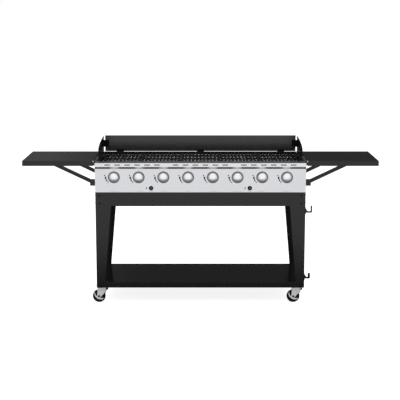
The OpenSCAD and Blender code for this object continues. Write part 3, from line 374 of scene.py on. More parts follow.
USUAL_FINISHES = (
    Finish(Slot.POWDER_BLACK, "powder_coat", (0.0022, 0.0022, 0.0025), (0.0034, 0.0034, 0.0038),
           (0.14, 0.22), specular=0.43, wear=0.2, dust=0.002),
    Finish(Slot.STAINLESS, "brushed_stainless", (0.73, 0.735, 0.76), (0.69, 0.695, 0.725),
           (0.18, 0.28), metallic=1.0, grain=(6.0, 1400.0, 1400.0), grain_depth=0.00001,
           grain_detail=4.0, worn=(0.80, 0.80, 0.82), wear=0.4),
    Finish(Slot.CAST_IRON, "cast_iron", even(0.0012), (0.0026, 0.0025, 0.0024),
           (0.15, 0.23), specular=0.05, grain=even(380.0), grain_detail=4.0,
           worn=even(0.01), wear=0.3),
    Finish(Slot.CHROME, "satin_chrome", (0.93, 0.93, 0.945), (0.90, 0.90, 0.915),
           (0.17, 0.24), metallic=1.0, grain=even(1600.0), grain_depth=0.000004),
    Finish(Slot.BEZEL_GREY, "smoked_chrome", (0.27, 0.27, 0.28), (0.22, 0.22, 0.23),
           (0.18, 0.26), metallic=1.0, grain_depth=0.000006),
    Finish(Slot.ZINC, "zinc_plate", (0.96, 0.96, 0.97), (0.90, 0.90, 0.92),
           (0.28, 0.40), metallic=0.2, grain=even(120.0), grain_detail=5.0,
           patch_scale=40.0, worn=even(0.9), wear=0.3),
    Finish(Slot.RUBBER, "wheel_rubber", even(0.004), even(0.008),
           (0.45, 0.62), specular=0.25, grain=even(700.0), grain_depth=0.00006, dust=0.02),
    Finish(Slot.BLACK_PLASTIC, "black_plastic", even(0.002), even(0.0035),
           (0.30, 0.40), specular=0.12, grain=even(1500.0)),
    Finish(Slot.GREY_PLASTIC, "grey_plastic", (0.045, 0.045, 0.048), (0.06, 0.06, 0.063),
           (0.25, 0.35), specular=0.4, grain=even(1500.0), grain_depth=0.00001),
    Finish(Slot.PIPE_STEEL, "pipe_steel", (0.40, 0.40, 0.41), (0.30, 0.30, 0.31),
           (0.35, 0.55), metallic=1.0, grain=even(300.0), grain_depth=0.00005),
    Finish(Slot.BRASS, "machined_brass", (0.72, 0.55, 0.27), (0.60, 0.44, 0.20),
           (0.25, 0.40), metallic=1.0, grain=(900.0, 200.0, 900.0)),
    Finish(Slot.CERAMIC, "glazed_ceramic", (0.82, 0.80, 0.75), (0.72, 0.69, 0.62),
           (0.15, 0.25), specular=0.6, grain_depth=0.00001),
    Finish(Slot.TRAY_STEEL, "aluminised_sheet", (0.50, 0.50, 0.51), (0.40, 0.40, 0.41),
           (0.35, 0.50), metallic=1.0, grain=even(150.0), grain_depth=0.00003,
           grain_detail=5.0, patch_scale=30.0),
)
GUARD_ENAMEL = Finish(
    Slot.POWDER_BLACK, "guard_enamel", (0.0016, 0.0016, 0.0018), (0.0026, 0.0026, 0.0029),
    (0.15, 0.21), specular=0.72, wear=0.15,
)
BLACK_OXIDE = Finish(
    Slot.POWDER_BLACK, "black_oxide", (0.0015, 0.0015, 0.0017), (0.0030, 0.0030, 0.0033),
    (0.35, 0.50), specular=0.12, grain=even(600.0), worn=even(0.05), wear=0.2,
)
PANEL_PRINT = Finish(
    Slot.BLACK_PLASTIC, "panel_print", (0.0015, 0.0015, 0.0016), (0.003, 0.003, 0.0032),
    (0.5, 0.6), specular=0.1, grain=even(1500.0), grain_depth=0.00001,
)
SCORCHED_STEEL = Finish(
    Slot.STAINLESS, "scorched_steel", (0.93, 0.925, 0.92), (0.84, 0.83, 0.82),
    (0.35, 0.50), metallic=0.3, grain=even(90.0), grain_detail=5.0, patch_scale=14.0,
    worn=(0.80, 0.78, 0.76), wear=0.3,
)
STRIP_STEEL = Finish(
    Slot.STAINLESS, "strip_steel", (0.78, 0.785, 0.81), (0.75, 0.755, 0.785),
    (0.21, 0.29), metallic=1.0, grain=(6.0, 1400.0, 1400.0), grain_depth=0.000008,
    grain_detail=4.0, worn=(0.82, 0.82, 0.84), wear=0.3,
)


class Paintshop:
    """Holds the material of each finish and paints pieces and carried-over nodes."""

    def __init__(self, record: dict) -> None:
        """Sorts the finishes and the nodes by slot.

        Args:
            record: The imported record, which says which slot each node takes.
        """
        self.effects = EffectLibrary()
        self.materials: dict[Finish, bpy.types.Material] = {}
        self.usual = {finish.slot: finish for finish in USUAL_FINISHES}
        self.node_slots = {row["node"]: Slot(row["material_slot"]) for row in record["subparts"]}

    def material(self, finish: Finish) -> bpy.types.Material:
        """Gives a finish's material, which is made once.

        Args:
            finish: The finish.

        Returns:
            Its material.
        """
        if finish not in self.materials:
            self.materials[finish] = finish.material(self.effects)
        return self.materials[finish]

    def paint_node(self, node: bpy.types.Object) -> None:
        """Gives a carried-over node the material of its slot."""
        node.data.materials.clear()
        node.data.materials.append(self.material(self.usual[self.node_slots[node.name]]))

    def paint(self, piece: bpy.types.Object, slot: Slot, special: Optional[Finish]) -> None:
        """Gives a new piece its slot's usual finish or a special one."""
        piece.data.materials.append(self.material(special or self.usual[slot]))


# Shaping in bmesh, where the welds are in millimetres

TURNED_SEGMENTS = 3
TURNED_SHARP_DEG = 30.0
SHEET_SHARP_DEG = 35.0
TURNED_WELD = 0.001
NODE_WELD = 0.002
FLAT_DEG = 0.5


def turned(
    profile: Sequence[Pair], steps: int, closed: bool = False, rounding: float = 0.0
) -> Shape:
    """Spins a profile around Z and rounds its edges.

    Args:
        profile: Radius and height of each corner, in millimetres.
        steps: Faces around the axis.
        closed: Whether the last corner joins the first.
        rounding: Radius of the rounded edges, in millimetres.

    Returns:
        The turned shape.
    """
    shape = bmesh.new()
    corners = [shape.verts.new((radius * MM, 0.0, height * MM)) for radius, height in profile]
    ends = corners[1:] + corners[:1] if closed else corners[1:]
    lines = [shape.edges.new(pair) for pair in zip(corners, ends)]
    bmesh.ops.spin(
        shape, geom=corners + lines, cent=ORIGIN, axis=UP, angle=math.tau, steps=steps,
        use_merge=True,
    )
    bmesh.ops.remove_doubles(shape, verts=shape.verts, dist=TURNED_WELD * MM)
    bmesh.ops.recalc_face_normals(shape, faces=shape.faces)
    if rounding > 0:
        break_edges(shape, rounding, TURNED_SEGMENTS, TURNED_SHARP_DEG)
    return shape


def break_edges(
    shape: Shape, radius: float, segments: int = 2, sharp_deg: float = SHEET_SHARP_DEG
) -> None:
    """Rounds all sharp edges and marks the new faces for the worn finish.

    Args:
        shape: The shape to change.
        radius: Radius of the rounded edges, in millimetres.
        segments: Faces across a rounded edge.
        sharp_deg: Edges that turn by more than this are rounded.
    """
    mark = shape.faces.layers.float.new(EDGE_MARK)
    limit = math.radians(sharp_deg)
    sharp = [
        edge for edge in shape.edges
        if len(edge.link_faces) == 2 and edge.calc_face_angle(0.0) > limit
    ]
    made = bmesh.ops.bevel(
        shape, geom=sharp, offset=radius * MM, offset_type="OFFSET", segments=segments,
        profile=0.5, affect="EDGES", clamp_overlap=False, material=-1,
    )
    for face in made["faces"]:
        face[mark] = 1.0
    refill_flats(shape)


def drawn_area(face: bmesh.types.BMFace) -> float:
    """Measures the triangles that a face is drawn with.

    Args:
        face: The face.

    Returns:
        Their area together, in square metres.
    """
    copy = bmesh.new()
    alone = copy.faces.new([copy.verts.new(vert.co) for vert in face.verts])
    alone.normal_update()
    bmesh.ops.triangulate(copy, faces=[alone])
    area = sum(part.calc_area() for part in copy.faces)
    copy.free()
    return area


def refill_flats(shape: Shape, slack: float = 0.01, least: float = 0.2) -> None:
    """Fills anew the flat faces that would be drawn beyond their own outline.

    Args:
        shape: The shape to change.
        slack: Share of a face's area by which its triangles may differ.
        least: Area by which they may differ in any case, in square millimetres.
    """
    shape.normal_update()
    wrong = []
    for face in shape.faces:
        area = face.calc_area()
        allowed = max(slack * area, least * MM * MM)
        if len(face.verts) > 4 and abs(drawn_area(face) - area) > allowed:
            wrong.append(face)
    for face in wrong:
        normal, index, edges = face.normal.copy(), face.material_index, list(face.edges)
        bmesh.ops.delete(shape, geom=[face], context="FACES_ONLY")
        made = bmesh.ops.triangle_fill(
            shape, use_beauty=True, use_dissolve=False, edges=edges, normal=normal
        )
        for part in made["geom"]:
            if isinstance(part, bmesh.types.BMFace):
                part.material_index = index
                if part.normal.dot(normal) < 0:
                    part.normal_flip()


def repeated(shape: Shape, places: Sequence[Matrix]) -> Shape:
    """Sets one copy of a shape at each place and frees the original.

    Args:
        shape: The shape, around the origin.
        places: Where each copy goes.

    Returns:
        All copies as one shape.
    """
    master = bpy.data.meshes.new("master")
    shape.to_mesh(master)
    shape.free()
    group = bmesh.new()
    for place in places:
        before = len(group.verts)
        group.from_mesh(master)
        group.verts.ensure_lookup_table()
        bmesh.ops.transform(group, matrix=place, verts=group.verts[before:])
    bpy.data.meshes.remove(master)
    return group


def panel_y() -> float:
    """Gives the Y of the control panel's face, which the knobs' rings sit on."""
    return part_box("knob_bezels")[1].y


def middle_of(node: str, y: Optional[float] = None) -> Matrix:
    """Gives the place in a node's middle whose Z faces the front.

    Args:
        node: The node's name.
        y: The place's Y, where it isn't the node's middle.

    Returns:
        The place.
    """
    middle = Vector([(low + high) / 2 for low, high in zip(*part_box(node))])
    if y is not None:
        middle.y = y
    return Matrix.Translation(middle) @ FACING_FRONT


def add_object(name: str, data: bpy.types.ID) -> bpy.types.Object:
    """Adds an object to the scene.

    Args:
        name: The object's name.
        data: Its mesh, lamp or camera.

    Returns:
        The object.
    """
    made = bpy.data.objects.new(name, data)
    bpy.context.scene.collection.objects.link(made)
    return made


@dataclass
class Workshop:
    """Turns shapes into finished pieces that ride on the right body."""

    frame: dict
    shop: Paintshop
    body_of: dict[str, str] = field(init=False)
    crease_deg: float = 40.0

    def __post_init__(self) -> None:
        """Looks up which body each node belongs to."""
        rows = self.frame["record"]["behaviour"]["bodies"]
        self.body_of = {node: body for body, nodes in rows.items() for node in nodes}

    def numbered(self, stem: str) -> list[str]:
        """Lists the nodes whose name is a stem and a number, in order."""
        return sorted(node for node in self.body_of if node.rstrip("0123456789") == f"{stem}_")

    def finish(
        self, name: str, shape: Shape, body: str, slot: Slot,
        special: Optional[Finish] = None, second: Optional[Finish] = None,
    ) -> bpy.types.Object:
        """Makes a piece of a shape, which is freed.

        Args:
            name: The piece's name.
            shape: Its shape, at its place.
            body: The body that it rides on.
            slot: Its material slot.
            special: Its finish, where it isn't the slot's usual one.
            second: The finish of the faces whose material index is 1.

        Returns:
            The piece.
        """
        mesh = bpy.data.meshes.new(name)
        for face in shape.faces:
            face.smooth = True
        shape.to_mesh(mesh)
        shape.free()
        mesh.set_sharp_from_angle(angle=math.radians(self.crease_deg))
        piece = add_object(name, mesh)
        weigh = piece.modifiers.new("weighted_normals", "WEIGHTED_NORMAL")
        weigh.keep_sharp = True
        self.shop.paint(piece, slot, special)
        if second:
            mesh.materials.append(self.shop.material(second))
        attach(piece, body)
        log.info("%s: %d faces, rides on %s", name, len(mesh.polygons), body)
        return piece

    def replace(
        self, node: str, name: str, shape: Shape,
        special: Optional[Finish] = None, second: Optional[Finish] = None,
    ) -> None:
        body, slot = self.body_of[node], self.shop.node_slots[node]
        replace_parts(self.finish(name, shape, body, slot, special, second), node)

    def blank(self, node: str) -> Shape:
        """Copies a node's mesh and merges it into clean flat faces.

        Args:
            node: The node's name.

        Returns:
            The clean copy.
        """
        shape = bmesh.new()
        shape.from_mesh(self.frame["nodes"][node].data)
        bmesh.ops.remove_doubles(shape, verts=shape.verts, dist=NODE_WELD * MM)
        bmesh.ops.dissolve_limit(
            shape, angle_limit=math.radians(FLAT_DEG), verts=shape.verts, edges=shape.edges
        )
        return shape

    def rounded(
        self, node: str, name: str, radius: float,
        segments: int = 2, special: Optional[Finish] = None,
    ) -> None:
        """Replaces a node by a copy whose edges are rounded, as folded and cut metal is.

        Args:
            node: The node's name.
            name: The piece's name.
            radius: Radius of the rounded edges, in millimetres.
            segments: Faces across a rounded edge.
            special: Its finish, where it isn't the slot's usual one.
        """
        shape = self.blank(node)
        break_edges(shape, radius, segments)
        self.replace(node, name, shape, special)


# Sub-assemblies


@dataclass
class Cart:
    """Legs, rails and shelf: folded sheet with a powder coat, and the bolts that join it."""

    workshop: Workshop
    fold_radius: float = 0.5
    bolt_radius: float = 0.35

    def build(self) -> None:
        """Dresses the cart's sheets and bolts."""
        legs = [f"leg_{end.value}_{side.value}" for end in End for side in Side]
        others = ["front_rail", "rear_rail", "side_rails", "bottom_shelf", "tank_hooks"]
        for node in legs + others:
            self.workshop.rounded(node, f"{node}_sheet", self.fold_radius)
        self.workshop.rounded(
            "fasteners", "bolts_and_nuts", self.bolt_radius, special=BLACK_OXIDE
        )


@dataclass
class Firebox:
    """The firebox with its panel, vent strip, guard and inner pieces."""

    workshop: Workshop
    sheet_radius: float = 0.45
    wall_in: float = 4.0

    def build(self) -> None:
        """Dresses the firebox's sheets and inner pieces."""
        self._firebox()
        for node, special in (
            ("control_panel", None), ("grease_tray", None), ("tray_runners", None),
            ("vent_trim", STRIP_STEEL), ("heat_plates", SCORCHED_STEEL),
            ("wind_guard_back", GUARD_ENAMEL), ("wind_guard_left", GUARD_ENAMEL),
            ("wind_guard_right", GUARD_ENAMEL), ("wind_guard_brackets", BLACK_OXIDE),
        ):
            self.workshop.rounded(node, f"{node}_sheet", self.sheet_radius, special=special)
        for node in ("burners", "gas_manifold", "gas_valves", "spark_electrodes"):
            self.workshop.rounded(node, f"{node}_piece", self.sheet_radius)

    def _firebox(self) -> None:
        """Makes the firebox, with bare steel inside below the grates."""
        shape = self.workshop.blank("firebox")
        grates = self.workshop.numbered("cooking_grate")
        low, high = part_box(grates[0])[0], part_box(grates[-1])[1]
        middle = sum(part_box("firebox"), Vector()) / 2
        bmesh.ops.bisect_plane(
            shape, geom=[*shape.verts, *shape.edges, *shape.faces],
            plane_co=(0.0, 0.0, low.z), plane_no=UP,
        )
        break_edges(shape, self.sheet_radius)
        margin = self.wall_in * MM
        for face in shape.faces:
            spot = face.calc_center_median()
            inside = low.x - margin < spot.x < high.x + margin and spot.z < low.z
            face.material_index = int(inside and face.normal.dot(middle - spot) > margin)
        log.info("firebox: %d faces are bare", sum(face.material_index for face in shape.faces))
        self.workshop.replace("firebox", "firebox_sheet", shape, second=SCORCHED_STEEL)


@dataclass
class SideTables:
    """Both folding tables with their hinges, support arms and brackets."""

    workshop: Workshop
    top_radius: float = 0.55
    arm_radius: float = 0.5

    def build(self) -> None:
        """Dresses the tables and what carries them."""
        for side in Side:
            node = f"side_table_{side.value}"
            self.workshop.rounded(node, f"{node}_top", self.top_radius)
            for end in End:
                node = f"support_arm_{side.value}_{end.value}"
                self.workshop.rounded(node, f"{node}_channel", self.arm_radius)
        for node in ("table_hinges", "arm_brackets"):
            self.workshop.rounded(node, f"{node}_sheet", self.arm_radius)


@dataclass
class Grates:
    """The cast cooking grates with soft, rounded bars."""

    workshop: Workshop
    cast_radius: float = 1.1
    cast_segments: int = 3

    def build(self) -> None:
        """Dresses each grate."""
        for number, node in enumerate(self.workshop.numbered("cooking_grate"), 1):
            self.workshop.rounded(
                node, f"cast_grate_{number}", self.cast_radius, self.cast_segments
            )


@dataclass
class Knobs:
    """Domed knobs with ribbed sides, each on a rounded ring."""

    workshop: Workshop
    steps: int = 72
    skirt_r: float = 31.0
    skirt_t: float = 3.0
    skirt_chamfer: Pair = (0.6, 1.0)
    hollow: float = 4.0
    gap: float = 0.3
    ball_r: float = 49.6
    dome_in: float = 0.5
    dome_steps: int = 10
    rib_zone: float = 1.5
    rib_slope: float = 0.2
    rib_inset: float = 0.4
    rib_depth: float = 0.5
    edge_radius: float = 0.8
    edge_segments: int = 3
    edge_sharp_deg: float = 32.0
    ring_r: float = 41.0
    ring_h: float = 5.0
    hole_r: float = 8.0
    disc_t: float = 1.2
    bead_w: float = 5.0
    bead_from: float = 1.5
    bead_steps: int = 8

    def build(self) -> None:
        """Makes the knobs and their rings."""
        places = []
        for number, node in enumerate(self.workshop.numbered("knob"), 1):
            place = middle_of(node, panel_y())
            places.append(place)
            shape = self._cap((panel_y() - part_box(node)[0].y) / MM)
            bmesh.ops.transform(shape, matrix=place, verts=shape.verts)
            self.workshop.replace(node, f"knob_cap_{number}", shape)
        self.workshop.replace("knob_bezels", "knob_rings", repeated(self._ring(), places))

    def _cap(self, height: float) -> Shape:
        """Turns one knob.

        Args:
            height: Distance of the dome's top in front of the panel, in millimetres.

        Returns:
            The knob, with its axis on Z.
        """
        base = self.ring_h + self.gap
        roof = base + self.hollow
        centre = height - self.ball_r
        rim_angle = math.asin((self.skirt_r - self.dome_in) / self.ball_r)
        angles = [rim_angle * (1 - step / self.dome_steps) for step in range(self.dome_steps)]
        dome = [
            (self.ball_r * math.sin(angle), centre + self.ball_r * math.cos(angle))
            for angle in angles
        ]
        inner_r = self.skirt_r - self.skirt_t
        across, up = self.skirt_chamfer
        profile = [
            (0.0, roof), (inner_r, roof), (inner_r, base), (self.skirt_r - across, base),
            (self.skirt_r, base + up), *dome, (0.0, height),
        ]
        shape = turned(profile, self.steps)
        band = []
        for face in shape.faces:
            spot = face.calc_center_median()
            outside = math.hypot(spot.x, spot.y) > (self.skirt_r - self.rib_zone) * MM
            if outside and abs(face.normal.z) < self.rib_slope:
                band.append((math.atan2(spot.y, spot.x), face))
        band.sort(key=lambda pair: pair[0])
        bmesh.ops.inset_individual(
            shape, faces=[face for _, face in band[::2]], thickness=self.rib_inset * MM,
            depth=-self.rib_depth * MM,
        )
        break_edges(shape, self.edge_radius, self.edge_segments, self.edge_sharp_deg)
        return shape

    def _ring(self) -> Shape:
        """Turns the ring behind a knob, a rounded bead around a flat disc.

        Returns:
            The ring, with its axis on Z.
        """
        half = self.bead_w / 2
        crown = self.ring_r - half
        rise = self.ring_h - self.bead_from
        angles = [math.pi * step / self.bead_steps for step in range(self.bead_steps + 1)]
        bead = [
            (crown + half * math.cos(angle), self.bead_from + rise * math.sin(angle))
            for angle in angles
        ]
        profile = [
            (self.hole_r, 0.0), (self.ring_r, 0.0), *bead, (crown - half, self.disc_t),
            (self.hole_r, self.disc_t),
        ]
        return turned(profile, self.steps, closed=True)


@dataclass
class ControlMarks:
    """Plain printed marks on the control panel: a fading arc and dots by each knob."""

    workshop: Workshop
    arc_from_deg: float = 176.5
    dash_deg: float = 15.0
    gap_deg: float = 2.5
    dashes: int = 3
    dash_steps: int = 4
    inner_r: float = 51.5
    widest: float = 10.5
    narrowest: float = 4.5
    print_t: float = 0.06
    dot_x: float = -62.5
    dot_z: float = 11.5
    dot_r: float = 4.2
    tick_z: float = 49.0
    tick_r: float = 1.8
    dot_steps: int = 16
    spark_x: float = -32.0
    spark_h: float = 16.0
    spark_w: float = 5.0
    spark_slant: float = 0.5

    def build(self) -> None:
        """Prints the marks around the knobs and beside the igniters."""
        buttons = [f"igniter_button_{side.value}" for side in Side]
        for name, shape, nodes in (
            ("dial_marks", self._dial(), self.workshop.numbered("knob")),
            ("spark_marks", self._spark(), buttons),
        ):
            marks = repeated(shape, [middle_of(node, panel_y()) for node in nodes])
            self.workshop.finish(name, marks, "cart", Slot.BLACK_PLASTIC, PANEL_PRINT)

    def _dial(self) -> Shape:
        """Draws one knob's marks in the plane Z = 0, facing up.

        Returns:
            The marks, as thin plates.
        """
        shape = bmesh.new()
        for dash in range(self.dashes):
            width = self.widest + (self.narrowest - self.widest) * dash / (self.dashes - 1)
            start = math.radians(self.arc_from_deg + dash * (self.dash_deg + self.gap_deg))
            ends = [
                shape.verts.new((radius * MM * math.cos(start), radius * MM * math.sin(start), 0.0))
                for radius in (self.inner_r, self.inner_r + width)
            ]
            line = shape.edges.new(ends)
            bmesh.ops.spin(
                shape, geom=[*ends, line], cent=ORIGIN, axis=UP,
                angle=math.radians(self.dash_deg), steps=self.dash_steps,
            )
        for x, z, radius in (
            (self.dot_x, self.dot_z, self.dot_r), (0.0, self.tick_z, self.tick_r)
        ):
            bmesh.ops.create_circle(
                shape, cap_ends=True, segments=self.dot_steps, radius=radius * MM,
                matrix=Matrix.Translation((x * MM, z * MM, 0.0)),
            )
        return self._print(shape)

    def _spark(self) -> Shape:
        """Draws a slanted stroke left of an igniter, in the plane Z = 0.

        Returns:
            The stroke, as a thin plate.
        """
        shape = bmesh.new()
        bmesh.ops.create_grid(shape, x_segments=1, y_segments=1, size=0.5)
        bmesh.ops.scale(shape, vec=(self.spark_w * MM, self.spark_h * MM, 1.0), verts=shape.verts)
        for vert in shape.verts:
            vert.co.x += self.spark_slant * vert.co.y
        bmesh.ops.translate(shape, vec=(self.spark_x * MM, 0.0, 0.0), verts=shape.verts)
        return self._print(shape)

    def _print(self, shape: Shape) -> Shape:
        """Gives flat marks the thickness of a print.

        Args:
            shape: Flat faces in the plane Z = 0.

        Returns:
            The same shape, as thin plates that stand on that plane.
        """
        bmesh.ops.recalc_face_normals(shape, faces=shape.faces)
        for face in shape.faces:
            if face.normal.z < 0:
                face.normal_flip()
        raised = bmesh.ops.extrude_face_region(shape, geom=list(shape.faces))
        lifted = [item for item in raised["geom"] if isinstance(item, bmesh.types.BMVert)]
        bmesh.ops.translate(shape, vec=(0.0, 0.0, self.print_t * MM), verts=lifted)
        bmesh.ops.recalc_face_normals(shape, faces=shape.faces)
        return shape


@dataclass
class Igniters:
    """Both igniter buttons, each in a rounded black ring.

    The corners of a button's face say how far they lie inside its radius and below its top.
    """

    workshop: Workshop
    steps: int = 48
    button_r: float = 9.0
    clearance: float = 0.05
    face_corners: tuple[Pair, ...] = ((1.5, 0.2), (3.0, 0.6))
    face_edge: float = 1.5
    dish: float = 1.0
    button_rounding: float = 0.4
    ring_r: float = 15.5
    ring_h: float = 4.0
    ring_slope: float = 2.0
    mouth: Pair = (1.0, 0.6)
    barrel_t: float = 2.0
    ring_rounding: float = 0.5

    def build(self) -> None:
        """Makes the buttons and their rings."""
        places = []
        for side in Side:
            node = f"igniter_button_{side.value}"
            place = middle_of(node, panel_y())
            places.append(place)
            button = self._button(node)
            bmesh.ops.transform(button, matrix=place, verts=button.verts)
            self.workshop.replace(node, f"igniter_cap_{side.value}", button)
        self.workshop.replace("igniter_housings", "igniter_rings", repeated(self._ring(), places))

    def _button(self, node: str) -> Shape:
        """Turns one button.

        Args:
            node: The button's node, which gives its length.

        Returns:
            The button, with its axis on Z.
        """
        low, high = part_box(node)
        back, top = (panel_y() - high.y) / MM, (panel_y() - low.y) / MM
        body_r = self.button_r - self.clearance
        face = [(self.button_r - inward, top - below) for inward, below in self.face_corners]
        return turned(
            [(0.0, back), (body_r, back), (body_r, top - self.face_edge), *face,
             (0.0, top - self.dish)],
            self.steps, rounding=self.button_rounding,
        )

    def _ring(self) -> Shape:
        """Turns the ring around a button, with the barrel behind it.

        Returns:
            The ring, with its axis on Z.
        """
        back = (panel_y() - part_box("igniter_housings")[1].y) / MM
        bore_r, barrel_r = self.button_r + self.clearance, self.button_r + self.barrel_t
        across, down = self.mouth
        return turned(
            [(bore_r, self.ring_h - down), (self.button_r + across, self.ring_h),
             (self.ring_r - self.ring_slope, self.ring_h),
             (self.ring_r, self.ring_h - self.ring_slope), (self.ring_r, 0.0),
             (barrel_r, 0.0), (barrel_r, back), (bore_r, back)],
            self.steps, closed=True, rounding=self.ring_rounding,
        )


@dataclass
class Casters:
    """Swivel casters: plates with a ball race, forks, wheels and the front pair's foot brakes.

    The web's corners give radius and height on one side of the wheel's middle, and the tread's
    corners how far they lie inside its radius and half its width.
    """

    workshop: Workshop
    plate_radius: float = 0.4
    pedal_radius: float = 0.8
    pedal_segments: int = 3
    head_r: float = 8.0
    head_from: float = 17.7
    steps: int = 72
    bore_r: float = 4.05
    hub_r: float = 10.5
    hub_w: float = 29.4
    hub_slope: Pair = (2.0, 1.5)
    web: tuple[Pair, ...] = ((13.0, 5.6), (20.0, 5.0), (29.5, 5.6))
    tread_r: float = 44.5
    tread_w: float = 25.0
    tread: tuple[Pair, ...] = ((13.0, 1.0), (9.0, 0.0), (4.0, 0.4), (1.2, 3.0), (0.0, 7.5))
    wheel_rounding: float = 0.6

    def build(self) -> None:
        """Dresses the casters and makes the wheels."""
        self.workshop.rounded("caster_plates", "caster_plates_sheet", self.plate_radius)
        for end in End:
            for side in Side:
                key = f"{end.value}_{side.value}"
                self._fork(key)
                self._wheel(key)
        for side in Side:
            self.workshop.rounded(
                f"caster_brake_{side.value}", f"brake_pedal_{side.value}", self.pedal_radius,
                self.pedal_segments,
            )

    def _fork(self, key: str) -> None:
        """Dresses one fork, whose axle has blackened ends.

        Args:
            key: End and side of the caster, as its node's name has them.
        """
        node = f"caster_fork_{key}"
        shape = self.workshop.blank(node)
        axle = sum(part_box(f"caster_wheel_{key}"), Vector()) / 2
        break_edges(shape, self.plate_radius)
        for face in shape.faces:
            way = face.calc_center_median() - axle
            face.material_index = int(
                math.hypot(way.x, way.z) < self.head_r * MM and abs(way.y) > self.head_from * MM
            )
        self.workshop.replace(node, f"fork_{key}", shape, second=BLACK_OXIDE)

    def _wheel(self, key: str) -> None:
        """Makes one wheel with a crowned tread, a dished web and a hub.

        Args:
            key: End and side of the caster, as its node's name has them.
        """
        node = f"caster_wheel_{key}"
        half, hub = self.tread_w / 2, self.hub_w / 2
        outward, down = self.hub_slope
        side = [
            (self.bore_r, hub), (self.hub_r, hub), (self.hub_r + outward, hub - down), *self.web,
            *[(self.tread_r - inward, half - below) for inward, below in self.tread],
        ]
        profile = [*side, *[(radius, -height) for radius, height in reversed(side)]]
        shape = turned(profile, self.steps, closed=True, rounding=self.wheel_rounding)
        bmesh.ops.transform(shape, matrix=middle_of(node), verts=shape.verts)
        self.workshop.replace(node, f"wheel_{key}_tread", shape)


# Studio


@dataclass(frozen=True)
class Lamp:
    """A soft square lamp: its place and size in metres, and its power in watts."""

    name: str
    place: Triple
    size: float
    power: float


